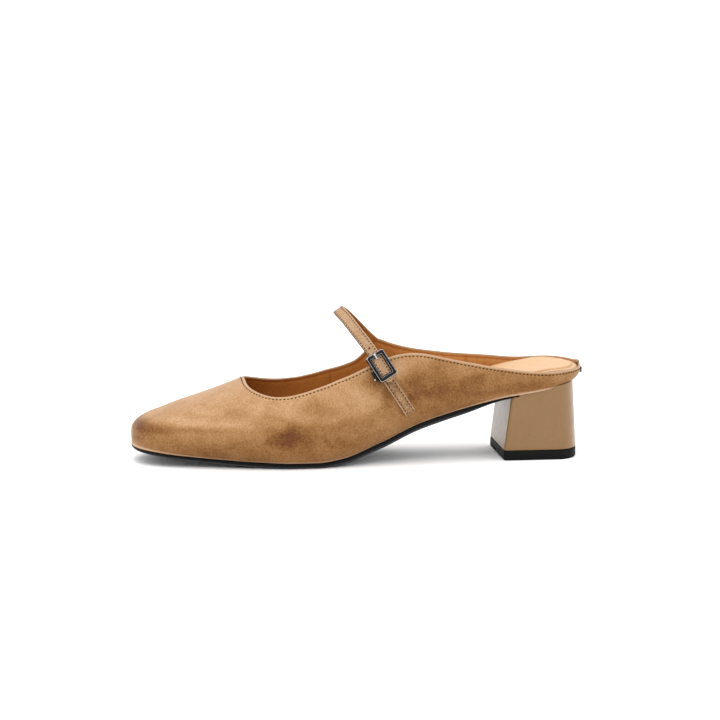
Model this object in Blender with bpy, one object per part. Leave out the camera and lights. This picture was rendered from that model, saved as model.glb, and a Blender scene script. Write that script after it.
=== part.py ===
"""Leather mule, left shoe: closed squarish toe, low block heel and a buckled strap over the instep.

Metres. +X points at the toe, +Y at the outer (lateral) side, +Z up. The origin is on the heel's
floor face. Every plan outline is read at shares of the shoe's length, counted from the back.
"""

import math

import bmesh
import bpy
import numpy as np

# Driving dimensions
SHOE_LENGTH = 0.250
HEEL_BACK = 0.0262
BALL_WIDTH = 0.0705
INSTEP = 0.043
HEEL_RISE = 0.0405
TOE_SPRING = 0.0066
SOLE_EDGE = 0.0027
GAP = 0.0003

# Upper
UPPER_WALL = 0.0018
TOE_ROUND = 0.030
BACK_ROUND = 0.024
CROWN_ROUND = 0.014
SEAT_OVERHANG = 0.0045
THROAT_DEPTH = 0.0620
THROAT_ROUND = 0.029
FEATHER_TURN = math.radians(24)

# Superellipse powers: 2 is a quarter circle, and more is squarer.
FULLNESS = 2.2
TOE_SQUARENESS = 2.5
THROAT_SQUARENESS = 4.2
BACK_SQUARENESS = 2.2

# Sole, heel and sock
SOLE_PROUD = 0.0006
SOLE_BEVEL = 0.0009
SOLE_STEP = 0.0003
SOLE_TONGUE = 0.0080
SEAT_PAD = 0.0105
HEEL_FRONT = 0.0200
HEEL_LENGTH = 0.0435
HEEL_WIDTH = 0.0473
HEEL_INSET = 0.0006
HEEL_BREAST_RAKE = 0.0037
HEEL_BACK_RAKE = 0.0022
HEEL_CORNER = 0.0020
HEEL_TURN = 0.0150
LIFT_THICKNESS = 0.0053
GROOVE_WIDTH = 0.0030
GROOVE_DEPTH = 0.0020
GROOVE_ACROSS = -0.0045

# Strap, chape and buckle
STRAP_WIDTH = 0.0064
STRAP_THICKNESS = 0.0013
CHAPE_WIDTH = 0.0060
CHAPE_THICKNESS = 0.0014
STRAP_ROOT = 0.0090
STRAP_TIP = 0.0100
STRAP_DIP = 0.0007
BUCKLE_LENGTH = 0.0155
BUCKLE_WIDTH = 0.0104
BUCKLE_BAR = 0.0020
BUCKLE_SIDE = 0.0017
BUCKLE_DEPTH = 0.0013
CENTRE_BAR = 0.0011
PRONG_LENGTH = 0.0042
PRONG_WIDTH = 0.0010
PRONG_THICKNESS = 0.0008

# Back trim
PLATE_WIDTH = 0.0060
PLATE_HEIGHT = 0.0034
PLATE_THICKNESS = 0.0008
PLATE_DROP = 0.0016
TAB_WIDTH = 0.0056
TAB_LENGTH = 0.0022
TAB_HEIGHT = 0.0015

# Mesh density
STATIONS = 56
OUTER_ROWS = 10
TURN_ROWS = 4
STRIPS = 4
BAND_STEP = 0.0032
ROUTE_STEPS = 24
HEEL_BACK_STEPS = 9
HEEL_SIDE_STEPS = 3
HEEL_CORNER_STEPS = 4
SAMPLES = 4001
SLOPE_STEP = 0.0005
SMOOTH_ANGLE = math.radians(40)

# The share along the shoe from which the upper's columns fan out toward the throat
FAN_START = 0.50

# Sides of the shoe, as signs of Y
OUT = 1
IN = -1

# One row for each section of the last. Half widths are shares of BALL_WIDTH from the centre line,
# heights are shares of INSTEP above the sole line, and the sock is a share of SEAT_PAD.
SECTION_COLUMNS = (
    "along", "centre", "sole_out", "sole_in", "wide_out", "wide_in", "wide_up",
    "crown_up", "heel_rise", "toe_rise", "edge", "sock",
)
SECTIONS = (
    (0.000, 0.000, 0.355, 0.355, 0.383, 0.383, 0.140, 1.08, 1.000, 0.00, 0.20, 0.56),
    (0.050, 0.000, 0.359, 0.359, 0.383, 0.383, 0.150, 1.12, 0.950, 0.00, 0.20, 0.76),
    (0.110, 0.000, 0.363, 0.359, 0.387, 0.386, 0.175, 1.20, 0.875, 0.00, 0.20, 1.00),
    (0.190, 0.000, 0.363, 0.355, 0.401, 0.389, 0.200, 1.32, 0.797, 0.00, 0.35, 0.92),
    (0.280, 0.000, 0.352, 0.326, 0.423, 0.391, 0.237, 1.49, 0.657, 0.00, 1.15, 0.65),
    (0.370, 0.000, 0.352, 0.305, 0.447, 0.394, 0.267, 1.69, 0.481, 0.00, 1.28, 0.42),
    (0.460, 0.000, 0.383, 0.348, 0.487, 0.426, 0.302, 1.76, 0.230, 0.00, 1.25, 0.36),
    (0.550, 0.000, 0.454, 0.475, 0.543, 0.494, 0.326, 1.66, 0.035, 0.00, 1.05, 0.34),
    (0.600, 0.000, 0.485, 0.505, 0.567, 0.529, 0.320, 1.47, 0.000, 0.00, 1.00, 0.34),
    (0.650, -0.004, 0.491, 0.515, 0.582, 0.550, 0.314, 1.28, 0.000, 0.00, 1.00, 0.34),
    (0.730, -0.014, 0.455, 0.501, 0.567, 0.548, 0.288, 1.02, 0.000, 0.09, 0.95, 0.34),
    (0.820, -0.028, 0.410, 0.451, 0.504, 0.501, 0.247, 0.78, 0.000, 0.30, 0.82, 0.34),
    (0.900, -0.038, 0.366, 0.390, 0.426, 0.431, 0.205, 0.585, 0.000, 0.55, 0.72, 0.33),
    (0.956, -0.042, 0.355, 0.358, 0.391, 0.391, 0.180, 0.430, 0.000, 0.80, 0.66, 0.32),
    (1.000, -0.042, 0.355, 0.355, 0.376, 0.376, 0.170, 0.340, 0.000, 1.00, 0.62, 0.32),
)

# The opening's edge: its height above the sole line on each side, as shares of INSTEP.
TOPLINE_COLUMNS = ("along", "edge_out", "edge_in")
TOPLINE = (
    (0.000, 0.155, 0.165),
    (0.060, 0.195, 0.222),
    (0.140, 0.295, 0.300),
    (0.200, 0.405, 0.390),
    (0.265, 0.575, 0.515),
    (0.320, 0.735, 0.645),
    (0.370, 0.895, 0.790),
    (0.410, 1.000, 0.955),
    (0.436, 1.045, 1.085),
    (0.452, 1.055, 1.150),
    (0.470, 1.058, 1.010),
    (0.500, 1.055, 0.935),
    (0.540, 1.038, 0.932),
    (0.590, 0.975, 0.895),
    (0.630, 0.905, 0.852),
    (0.670, 0.850, 0.838),
    (0.710, 0.820, 0.838),
    (0.752, 0.810, 0.838),
)

# The strap's middle line over the instep, from the inner side to the outer: shares of
# SHOE_LENGTH from the back, of BALL_WIDTH across and of INSTEP above the sole line.
ARCH_COLUMNS = ("along", "across", "up")
ARCH = (
    (0.4725, -0.352, 1.260),
    (0.4950, -0.285, 1.455),
    (0.5225, -0.155, 1.680),
    (0.542, 0.000, 1.800),
    (0.529, 0.160, 1.700),
    (0.510, 0.305, 1.520),
    (0.494, 0.395, 1.360),
)

# The chape along the outer wall, from the buckle's middle down: shares of SHOE_LENGTH from the
# back and of INSTEP above the sole line.
WALL_COLUMNS = ("along", "up")
WALL_RUN = (
    (0.464, 1.000),
    (0.446, 0.786),
    (0.422, 0.507),
    (0.399, 0.240),
)

# The outsole's levels, bottom first: how far each is moved in from the edge, and its depth.
SOLE_LEVELS = ((SOLE_BEVEL, 1.0), (SOLE_STEP, 0.55), (0.0, 0.45), (0.0, 0.0))

# The heel's levels, as shares from the seat down to the top lift
HEEL_LEVELS = (1.0, 0.75, 0.5, 0.25, 0.0)

# The sock's levels, as shares from the sole line up to the footbed
SOCK_LEVELS = (0.0, 0.3, 0.6, 0.85, 1.0)

# The strap's hidden end, as shares of STRAP_ROOT below the opening's edge
ROOT_LEVELS = (1.0, 0.5, 0.0)
ROOT_ALONG = 0.455
ROOT_UP = 1.130
STRAP_LEAN = math.radians(42)

COLOURS = {
    "outsole": ((0.010, 0.010, 0.011), 0.50, 0.0),
    "heel": ((0.330, 0.205, 0.100), 0.34, 0.0),
    "top_lift": ((0.010, 0.010, 0.010), 0.60, 0.0),
    "upper": ((0.430, 0.235, 0.105), 0.48, 0.0),
    "insole": ((0.700, 0.440, 0.220), 0.62, 0.0),
    "strap": ((0.470, 0.280, 0.140), 0.50, 0.0),
    "chape": ((0.400, 0.215, 0.095), 0.50, 0.0),
    "buckle_frame": ((0.420, 0.420, 0.440), 0.22, 1.0),
    "buckle_prong": ((0.620, 0.620, 0.640), 0.22, 1.0),
    "back_plate": ((0.040, 0.040, 0.042), 0.35, 1.0),
    "back_tab": ((0.420, 0.225, 0.100), 0.55, 0.0),
}


# Curves through table rows
def slopes(x, y):
    """Slopes at the rows for a cubic curve that never overshoots them."""
    steps = np.diff(x)
    rates = np.diff(y) / steps
    found = np.zeros_like(y)
    for i in range(1, len(y) - 1):
        if rates[i - 1] * rates[i] > 0:
            before = 2 * steps[i] + steps[i - 1]
            after = steps[i] + 2 * steps[i - 1]
            found[i] = (before + after) / (before / rates[i - 1] + after / rates[i])
    found[0] = rates[0]
    found[-1] = rates[-1]
    return found


def table_curve(columns, rows, name):
    """A smooth function of the share along the shoe, through one column of a table."""
    values = np.array(rows, float)
    x = values[:, 0]
    y = values[:, columns.index(name)]
    m = slopes(x, y)

    def read(share):
        at = np.clip(np.asarray(share, float), x[0], x[-1])
        i = np.clip(np.searchsorted(x, at) - 1, 0, len(x) - 2)
        width = x[i + 1] - x[i]
        t = (at - x[i]) / width
        return (
            (1 + 2 * t) * (1 - t) ** 2 * y[i]
            + t * (1 - t) ** 2 * width * m[i]
            + t**2 * (3 - 2 * t) * y[i + 1]
            + t**2 * (t - 1) * width * m[i + 1]
        )

    return read


LAST = {name: table_curve(SECTION_COLUMNS, SECTIONS, name) for name in SECTION_COLUMNS[1:]}
EDGE = {name: table_curve(TOPLINE_COLUMNS, TOPLINE, name) for name in TOPLINE_COLUMNS[1:]}


def falloff(depth, power):
    """A superellipse's quarter: 1 at no depth and 0 at full depth."""
    return (1 - np.clip(depth, 0, 1) ** power) ** (1 / power)


def end_rounding(share):
    """How far the plan outline has closed at the toe and at the back."""
    toe = (share - (1 - TOE_ROUND / SHOE_LENGTH)) * SHOE_LENGTH / TOE_ROUND
    back = 1 - share * SHOE_LENGTH / BACK_ROUND
    return falloff(toe, TOE_SQUARENESS) * falloff(back, BACK_SQUARENESS)


def share_at(x):
    return (np.asarray(x, float) + HEEL_BACK) / SHOE_LENGTH


def x_at(share):
    return np.asarray(share, float) * SHOE_LENGTH - HEEL_BACK


def sole_x(share):
    """The feather line starts in front of the upper's back and ends with it at the toe."""
    return x_at(share) + SEAT_OVERHANG * (1 - np.asarray(share, float)) ** 2


def sole_line(x):
    """Height of the feather line, where the upper meets the sole."""
    share = share_at(x)
    rise = HEEL_RISE * LAST["heel_rise"](share) + TOE_SPRING * LAST["toe_rise"](share)
    return GAP + SOLE_EDGE + rise


def centre(share):
    return BALL_WIDTH * LAST["centre"](share)


def half_width(share, side, level):
    name = level + ("_out" if side == OUT else "_in")
    return BALL_WIDTH * LAST[name](share) * end_rounding(share)


def widest_height(x):
    return sole_line(x) + INSTEP * LAST["wide_up"](share_at(x))


def crown_height(x):
    """Height of the last's ridge. It closes down to the widest line at the toe."""
    share = share_at(x)
    closing = falloff((x - x_at(1) + CROWN_ROUND) / CROWN_ROUND, FULLNESS)
    base = INSTEP * LAST["wide_up"](share)
    return sole_line(x) + base + (INSTEP * LAST["crown_up"](share) - base) * closing


def upper_height(x, y, side):
    """Height of the upper's outer face above a point in plan."""
    share = share_at(x)
    reach = np.abs(y - centre(share)) / np.maximum(half_width(share, side, "wide"), GAP)
    low = widest_height(x)
    return low + (crown_height(x) - low) * falloff(reach, FULLNESS)


def upper_side(x, z, side):
    """Distance across of the upper's outer face at a height above its widest line."""
    share = share_at(x)
    low = widest_height(x)
    up = np.clip((z - low) / (crown_height(x) - low), 0, 1)
    return centre(share) + side * half_width(share, side, "wide") * falloff(up, FULLNESS)


def edge_height(x, side):
    name = "edge_out" if side == OUT else "edge_in"
    return sole_line(x) + INSTEP * EDGE[name](share_at(x))


# Stations and columns
def stations(count):
    """Shares along the shoe, at equal steps along its plan outline."""
    share = (1 - np.cos(np.linspace(0, math.pi, SAMPLES))) / 2
    x = x_at(share)
    y = half_width(share, OUT, "wide")
    length = np.concatenate([[0], np.cumsum(np.hypot(np.diff(x), np.diff(y)))])
    return np.interp(np.linspace(0, length[-1], count + 1), length, share)


SHARES = stations(STATIONS)


def topline_path(side):
    """The opening's edge from the back to the middle of the throat, as plan and height."""
    throat_x = x_at(1) - THROAT_DEPTH
    turn = (1 - np.cos(np.linspace(0, math.pi, SAMPLES))) / 2
    x = -HEEL_BACK + (throat_x + HEEL_BACK) * turn
    closing = falloff((x - throat_x + THROAT_ROUND) / THROAT_ROUND, THROAT_SQUARENESS)
    straight = upper_side(x, edge_height(x, side), side)
    y = centre(share_at(x)) + (straight - centre(share_at(x))) * closing
    front = x > throat_x - THROAT_ROUND
    z = np.where(front, upper_height(x, y, side), edge_height(x, side))
    return np.stack([x, y, z], 1)


def topline_points(side):
    """One point of the opening's edge for each station. Behind the fan both share their X."""
    path = topline_path(side)
    length = np.concatenate([[0], np.cumsum(np.hypot(*np.diff(path[:, :2], axis=0).T))])
    wide_x = x_at(SHARES)
    wide_y = half_width(SHARES, side, "wide")
    outline = np.concatenate([[0], np.cumsum(np.hypot(np.diff(wide_x), np.diff(wide_y)))])
    first = int(np.searchsorted(SHARES, FAN_START))
    start = np.interp(wide_x[first], path[:, 0], length)
    along = (outline - outline[first]) / (outline[-1] - outline[first])
    place = np.where(
        np.arange(len(SHARES)) <= first,
        np.interp(wide_x, path[:, 0], length),
        start + (length[-1] - start) * along,
    )
    return np.stack([np.interp(place, length, path[:, k]) for k in range(3)], 1), first


def side_columns(side):
    """Outer face of one side: an array of stations by rows, feather first and opening last."""
    top, first = topline_points(side)
    wide_x = x_at(SHARES)
    wide = np.stack(
        [wide_x, centre(SHARES) + side * half_width(SHARES, side, "wide"), widest_height(wide_x)], 1
    )
    sole = feather_points(side)
    rows = []
    for k in range(TURN_ROWS):
        turn = FEATHER_TURN + (math.pi / 2 - FEATHER_TURN) * k / TURN_ROWS
        plan = (math.sin(turn) - math.sin(FEATHER_TURN)) / (1 - math.sin(FEATHER_TURN))
        up = 1 - math.cos(turn) / math.cos(FEATHER_TURN)
        rows.append(sole + (wide - sole) * np.array([plan, plan, up]))
    low = widest_height(top[:, 0])
    reach = np.clip((top[:, 2] - low) / (crown_height(top[:, 0]) - low), 0, 1)
    angle = np.arcsin(reach ** (FULLNESS / 2))
    behind = np.arange(len(SHARES)) <= first
    start = widest_height(wide_x)
    rows.append(wide)
    for k in range(1, OUTER_ROWS):
        part = angle * k / OUTER_ROWS
        fold = (1 - np.cos(part) ** (2 / FULLNESS)) / (1 - np.cos(angle) ** (2 / FULLNESS))
        plan = wide[:, :2] + (top[:, :2] - wide[:, :2]) * fold[:, None]
        height = upper_height(plan[:, 0], plan[:, 1], side)
        wall = start + (crown_height(wide_x) - start) * np.sin(part) ** (2 / FULLNESS)
        rows.append(np.column_stack([plan, np.where(behind, wall, height)]))
    rows.append(top)
    return np.array(rows)


def feather_points(side):
    x = sole_x(SHARES)
    y = centre(SHARES) + side * half_width(SHARES, side, "sole")
    return np.column_stack([x, y, sole_line(x)])


def ring(out_side, in_side):
    """One closed loop: the outer side from back to toe, then the inner side from toe to back."""
    return np.concatenate([out_side, in_side[-2:0:-1]])


def outer_rings():
    out_side = side_columns(OUT)
    in_side = side_columns(IN)
    return np.array([ring(o, i) for o, i in zip(out_side, in_side)])


def ring_normals(rings):
    """Normals of a grid of loops, pointing away from the shoe's middle."""
    around = np.roll(rings, -1, axis=1) - np.roll(rings, 1, axis=1)
    up = np.gradient(rings, axis=0)
    normals = np.cross(around, up)
    normals /= np.linalg.norm(normals, axis=2, keepdims=True)
    middle = rings.mean(axis=(0, 1))
    outward = np.sum((rings - middle) * normals) > 0
    return normals if outward else -normals


def inner_rings(rings, depth):
    """The same loops moved inward by a depth, with the lowest loop kept in the sole's plane."""
    moved = rings - ring_normals(rings) * depth
    moved[0, :, 2] = sole_line(moved[0, :, 0])
    return moved


# Meshes
def outward_mesh(name, points, faces):
    """A mesh whose faces all point out."""
    mesh = bpy.data.meshes.new(name)
    mesh.from_pydata([tuple(map(float, p)) for p in points], [], faces)
    work = bmesh.new()
    work.from_mesh(mesh)
    bmesh.ops.recalc_face_normals(work, faces=work.faces)
    work.to_mesh(mesh)
    work.free()
    return mesh


def make_object(name, points, faces):
    colour, roughness, metallic = COLOURS[name]
    mesh = outward_mesh(name, points, faces)
    mesh.shade_smooth()
    mesh.set_sharp_from_angle(angle=SMOOTH_ANGLE)
    material = bpy.data.materials.new(name)
    material.use_nodes = True
    shader = material.node_tree.nodes["Principled BSDF"]
    shader.inputs["Base Color"].default_value = (*colour, 1)
    shader.inputs["Roughness"].default_value = roughness
    shader.inputs["Metallic"].default_value = metallic
    mesh.materials.append(material)
    made = bpy.data.objects.new(name, mesh)
    bpy.context.scene.collection.objects.link(made)
    return made


def make_cutter(name, points, faces):
    made = bpy.data.objects.new(name, outward_mesh(name, points, faces))
    made.hide_render = True
    made.display_type = "WIRE"
    bpy.context.scene.collection.objects.link(made)
    return made


def loop_faces(first, second, count):
    """Quads between two loops of points that start at the given indices."""
    return [
        (first + i, first + (i + 1) % count, second + (i + 1) % count, second + i)
        for i in range(count)
    ]


def make_tube(name, loops):
    """A solid whose loops follow each other round a ring section, the last joined to the first."""
    count = len(loops[0])
    faces = []
    for k in range(len(loops)):
        faces += loop_faces(k * count, (k + 1) % len(loops) * count, count)
    return make_object(name, np.concatenate(loops), faces)


def cross_rows(points, pairs, count):
    """Rows of points across a loop. Each row runs from an outer point to its inner partner."""
    rows = []
    extra = []
    for o, i in pairs:
        if o == i:
            rows.append([o])
            continue
        if abs(o - i) in (1, count - 1):
            rows.append([o, i])
            continue
        row = [o]
        for k in range(1, STRIPS):
            share = k / STRIPS
            row.append(len(points) + len(extra))
            extra.append(points[o] * (1 - share) + points[i] * share)
        rows.append(row + [i])
    return rows, extra


def row_faces(rows):
    """Faces between rows. A one-point row is a tip, and a short row a straight end."""
    faces = []
    for a, b in zip(rows[:-1], rows[1:]):
        if len(a) == 1:
            faces += [(a[0], b[k], b[k + 1]) for k in range(len(b) - 1)]
        elif len(b) == 1:
            faces += [(a[k], b[0], a[k + 1]) for k in range(len(a) - 1)]
        elif len(a) == len(b):
            faces += [(a[k], b[k], b[k + 1], a[k + 1]) for k in range(len(a) - 1)]
        else:
            faces.append(tuple(a) + tuple(reversed(b)))
    return faces


def make_slab(name, levels, flat_back=False):
    """A closed solid from loops stacked bottom first, with rows across its two ends.

    Each loop runs along the outer side from the back and returns along the inner side.
    """
    count = len(levels[0])
    points = np.concatenate(levels)
    faces = []
    for k in range(len(levels) - 1):
        faces += loop_faces(k * count, (k + 1) * count, count)
    shift = 1 if flat_back else 0
    half = (count + 2 - shift) // 2
    for start in (0, len(points) - count):
        pairs = [(start + i, start + (count - shift - i) % count) for i in range(half)]
        rows, extra = cross_rows(points, pairs, count)
        if extra:
            points = np.concatenate([points, np.array(extra)])
        faces += row_faces(rows)
    return make_object(name, points, faces)


# Upper
def make_upper(rings):
    inner = inner_rings(rings, UPPER_WALL)
    make_tube("upper", list(rings) + list(inner[::-1]))


# Sole
def offset_loop(loop, distance):
    """A loop moved outward in plan by a distance."""
    around = np.roll(loop, -1, axis=0) - np.roll(loop, 1, axis=0)
    normal = np.column_stack([around[:, 1], -around[:, 0], np.zeros(len(loop))])
    normal /= np.linalg.norm(normal, axis=1, keepdims=True)
    return loop - normal * distance


def sole_loop(back_x):
    """The outsole's plan: the feather line from its tongue under the seat to the toe."""
    start = share_at(back_x)
    shares = start + (1 - start) * SHARES
    sides = []
    for side in (OUT, IN):
        y = centre(shares) + side * half_width(shares, side, "sole")
        sides.append(np.column_stack([sole_x(shares), y, np.zeros(len(shares))]))
    return np.concatenate([sides[0], sides[1][-2::-1]])


def sole_depth(x):
    return SOLE_EDGE * LAST["edge"](share_at(x))


def make_outsole():
    plan = sole_loop(HEEL_FRONT - SOLE_TONGUE)
    depth = sole_depth(plan[:, 0])
    levels = []
    for inset, drop in SOLE_LEVELS:
        level = plan.copy()
        level[1:-1] = offset_loop(plan, SOLE_PROUD - inset)[1:-1]
        level[:, 2] = sole_line(level[:, 0]) - GAP - depth * drop
        levels.append(level)
    make_slab("outsole", levels, flat_back=True)


# Heel
TONGUE_STEP = HEEL_FRONT - SOLE_TONGUE - GAP


def heel_stations(back, front):
    """X of a D in plan, with how far its back has closed and how deep its corners cut."""
    rear = back + HEEL_TURN * (1 - np.cos(np.linspace(0, math.pi / 2, HEEL_BACK_STEPS)))
    side = np.linspace(back + HEEL_TURN, front - HEEL_CORNER, HEEL_SIDE_STEPS + 2)[1:-1]
    side = np.sort(np.append(side, [TONGUE_STEP, TONGUE_STEP + GAP / 2]))
    turn = np.linspace(0, math.pi / 2, HEEL_CORNER_STEPS)
    bend = front - HEEL_CORNER + HEEL_CORNER * np.sin(turn)
    x = np.concatenate([rear, side, bend])
    closing = falloff(1 - (x - back) / HEEL_TURN, TOE_SQUARENESS)
    into = np.clip((x - (front - HEEL_CORNER)) / HEEL_CORNER, 0, 1)
    return x, closing, HEEL_CORNER * (1 - np.sqrt(1 - into**2))


def heel_loop(share):
    """Plan of one level of the heel, from its top under the seat (0) to its floor end (1)."""
    front = HEEL_FRONT - HEEL_BREAST_RAKE * (1 - share)
    back = HEEL_FRONT - HEEL_LENGTH + HEEL_BACK_RAKE * (1 - share)
    x, closing, corner = heel_stations(back, front)
    sides = []
    for side in (OUT, IN):
        seat = half_width(share_at(front), side, "sole") - HEEL_INSET
        half = ((1 - share) * seat + share * HEEL_WIDTH / 2) * closing - corner
        sides.append(np.column_stack([x, side * half]))
    return np.concatenate([sides[0], sides[1][:0:-1]])


def heel_top(x):
    """Height of the heel's top: below the seat, and lower where the sole's tongue lies."""
    under_tongue = x > TONGUE_STEP + GAP / 4
    return sole_line(x) - GAP - np.where(under_tongue, sole_depth(x) + GAP, 0)


def make_heel():
    low = LIFT_THICKNESS + GAP
    levels = []
    for share in HEEL_LEVELS:
        plan = heel_loop(share)
        z = low * share + heel_top(plan[:, 0]) * (1 - share)
        levels.append(np.column_stack([plan, z]))
    make_slab("heel", levels)


def make_top_lift():
    plan = heel_loop(1.0)
    levels = []
    for z in (0.0, LIFT_THICKNESS):
        levels.append(np.column_stack([plan, np.full(len(plan), z)]))
    lift = make_slab("top_lift", levels)
    middle = (HEEL_FRONT - HEEL_LENGTH / 2, GROOVE_ACROSS, 0.0)
    size = (HEEL_LENGTH * 2, GROOVE_WIDTH, GROOVE_DEPTH * 2)
    cut(lift, make_cutter("groove_cutter", *box(middle, size)))


def box(middle, size, axes=np.eye(3), origin=np.zeros(3)):
    """Corners and faces of a box, along the given axes from an origin."""
    corners = np.array([(a, b, c) for a in (-1, 1) for b in (-1, 1) for c in (-1, 1)], float)
    points = origin + (np.array(middle) + corners * np.array(size) / 2) @ axes
    faces = [(0, 1, 3, 2), (4, 6, 7, 5), (0, 4, 5, 1), (2, 3, 7, 6), (0, 2, 6, 4), (1, 5, 7, 3)]
    return points, faces


def cut(piece, cutter, operation="DIFFERENCE"):
    modifier = piece.modifiers.new(cutter.name, "BOOLEAN")
    modifier.operation = operation
    modifier.solver = "EXACT"
    modifier.object = cutter


# Sock
def make_insole(rings):
    """The sock on its board: it fills the upper's inside up to the footbed's height."""
    inside = inner_rings(rings, UPPER_WALL + GAP)
    count = inside.shape[1]
    heights = inside[:, :, 2]
    target = sole_line(inside[0, :, 0]) + SEAT_PAD * LAST["sock"](share_at(inside[0, :, 0]))
    levels = []
    for share in SOCK_LEVELS:
        loop = np.zeros((count, 3))
        for j in range(count):
            bottom = heights[0, j]
            z = bottom + (target[j] - bottom) * share
            loop[j, 0] = np.interp(z, heights[:, j], inside[:, j, 0])
            loop[j, 1] = np.interp(z, heights[:, j], inside[:, j, 1])
            loop[j, 2] = z
        levels.append(loop)
    make_slab("insole", levels)


# Strap route
def wall_point(x, z, side, offset):
    """A point off the upper's outer face toward the outer side, with the face's normal there."""
    y = upper_side(x, z, side)
    step = SLOPE_STEP
    slope_x = (upper_side(x + step, z, side) - upper_side(x - step, z, side)) / (2 * step)
    slope_z = (upper_side(x, z + step, side) - upper_side(x, z - step, side)) / (2 * step)
    normal = np.array([-slope_x, 1.0, -slope_z])
    normal /= np.linalg.norm(normal)
    return np.array([x, y, z]) + normal * offset, normal


def outer_wall(row, offset):
    """A point off the outer wall at one row of the chape's run, with the wall's normal."""
    at = dict(zip(WALL_COLUMNS, row))
    x = x_at(at["along"])
    return wall_point(x, sole_line(x) + INSTEP * at["up"], OUT, offset)


def smooth_route(points, step):
    """Points at equal steps along a Catmull-Rom curve through the given points."""
    points = np.array(points)
    ends = np.vstack([2 * points[0] - points[1], points, 2 * points[-1] - points[-2]])
    fine = []
    for i in range(1, len(ends) - 2):
        p0, p1, p2, p3 = ends[i - 1 : i + 3]
        for t in np.linspace(0, 1, ROUTE_STEPS, endpoint=False):
            curve = 2 * p1 + (p2 - p0) * t
            curve += (2 * p0 - 5 * p1 + 4 * p2 - p3) * t**2
            curve += (3 * p1 - p0 - 3 * p2 + p3) * t**3
            fine.append(curve / 2)
    fine.append(points[-1])
    fine = np.array(fine)
    length = np.concatenate([[0], np.cumsum(np.linalg.norm(np.diff(fine, axis=0), axis=1))])
    places = np.linspace(0, length[-1], max(2, int(round(length[-1] / step)) + 1))
    return np.column_stack([np.interp(places, length, fine[:, k]) for k in range(3)])


def band(name, route, across_start, across_end, width, thickness):
    """A flat strip along a route. Its width turns evenly from one direction to another."""
    tangents = np.gradient(route, axis=0)
    tangents /= np.linalg.norm(tangents, axis=1, keepdims=True)
    loops = []
    for k, (point, tangent) in enumerate(zip(route, tangents)):
        across = across_start + (across_end - across_start) * k / (len(route) - 1)
        across = across - tangent * across.dot(tangent)
        across /= np.linalg.norm(across)
        normal = np.cross(across, tangent)
        loops.append(
            [
                point + across * width / 2 * a + normal * thickness / 2 * b
                for a, b in ((-1, -1), (1, -1), (1, 1), (-1, 1))
            ]
        )
    points = np.array(loops).reshape(-1, 3)
    faces = [(3, 2, 1, 0)]
    for k in range(len(loops) - 1):
        faces += loop_faces(4 * k, 4 * k + 4, 4)
    last = 4 * (len(loops) - 1)
    faces.append((last, last + 1, last + 2, last + 3))
    make_object(name, points, faces)


CHAPE_LIFT = GAP + CHAPE_THICKNESS / 2
BAR_LIFT = GAP + CHAPE_THICKNESS + GAP + CENTRE_BAR / 2
STRAP_LIFT = BAR_LIFT + CENTRE_BAR / 2 + GAP + STRAP_THICKNESS / 2
FRAME_LIFT = STRAP_LIFT + STRAP_THICKNESS / 2 + GAP + BUCKLE_DEPTH / 2


def arch_points():
    rows = []
    for row in ARCH:
        at = dict(zip(ARCH_COLUMNS, row))
        x = x_at(at["along"])
        z = sole_line(x) + INSTEP * at["up"]
        rows.append(np.array([x, BALL_WIDTH * at["across"], z]))
    return rows


def root_points():
    """The strap's hidden end, against the lining below the opening's edge."""
    x = float(x_at(ROOT_ALONG))
    z = float(sole_line(x) + INSTEP * ROOT_UP)
    lift = UPPER_WALL + GAP * 2 + STRAP_THICKNESS / 2
    points = []
    for share in ROOT_LEVELS:
        back = STRAP_ROOT * share * math.sin(STRAP_LEAN)
        down = STRAP_ROOT * share * math.cos(STRAP_LEAN)
        points.append(wall_point(x - back, z - down, IN, lift)[0])
    return points


def buckle_axes():
    """Middle of the buckle, and its directions down the strap, across it and outward."""
    middle, normal = outer_wall(WALL_RUN[0], 0.0)
    down = outer_wall(WALL_RUN[1], 0.0)[0] - middle
    down -= normal * down.dot(normal)
    down /= np.linalg.norm(down)
    return middle, down, np.cross(normal, down), normal


def make_strap():
    middle, down, across, normal = buckle_axes()
    buckle = middle + normal * STRAP_LIFT
    entry = buckle - down * (BUCKLE_LENGTH / 2 + GAP) - normal * STRAP_DIP
    tip = buckle + down * STRAP_TIP
    half_in = buckle - down * BUCKLE_LENGTH / 4
    run = [entry, half_in, buckle, tip]
    route = smooth_route(root_points() + arch_points() + run, BAND_STEP)
    root = np.array([-math.cos(STRAP_LEAN), 0.0, math.sin(STRAP_LEAN)])
    band("strap", route, root, across, STRAP_WIDTH, STRAP_THICKNESS)


def make_chape():
    across = buckle_axes()[2]
    route = smooth_route([outer_wall(row, CHAPE_LIFT)[0] for row in WALL_RUN], BAND_STEP)
    band("chape", route, across, across, CHAPE_WIDTH, CHAPE_THICKNESS)


# Buckle
def buckle_box(lengthwise, crosswise, lift, size):
    """A box in the buckle's own directions: down the strap, across it and outward."""
    middle, down, across, normal = buckle_axes()
    return box((lengthwise, crosswise, lift), size, np.array([down, across, normal]), middle)


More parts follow.
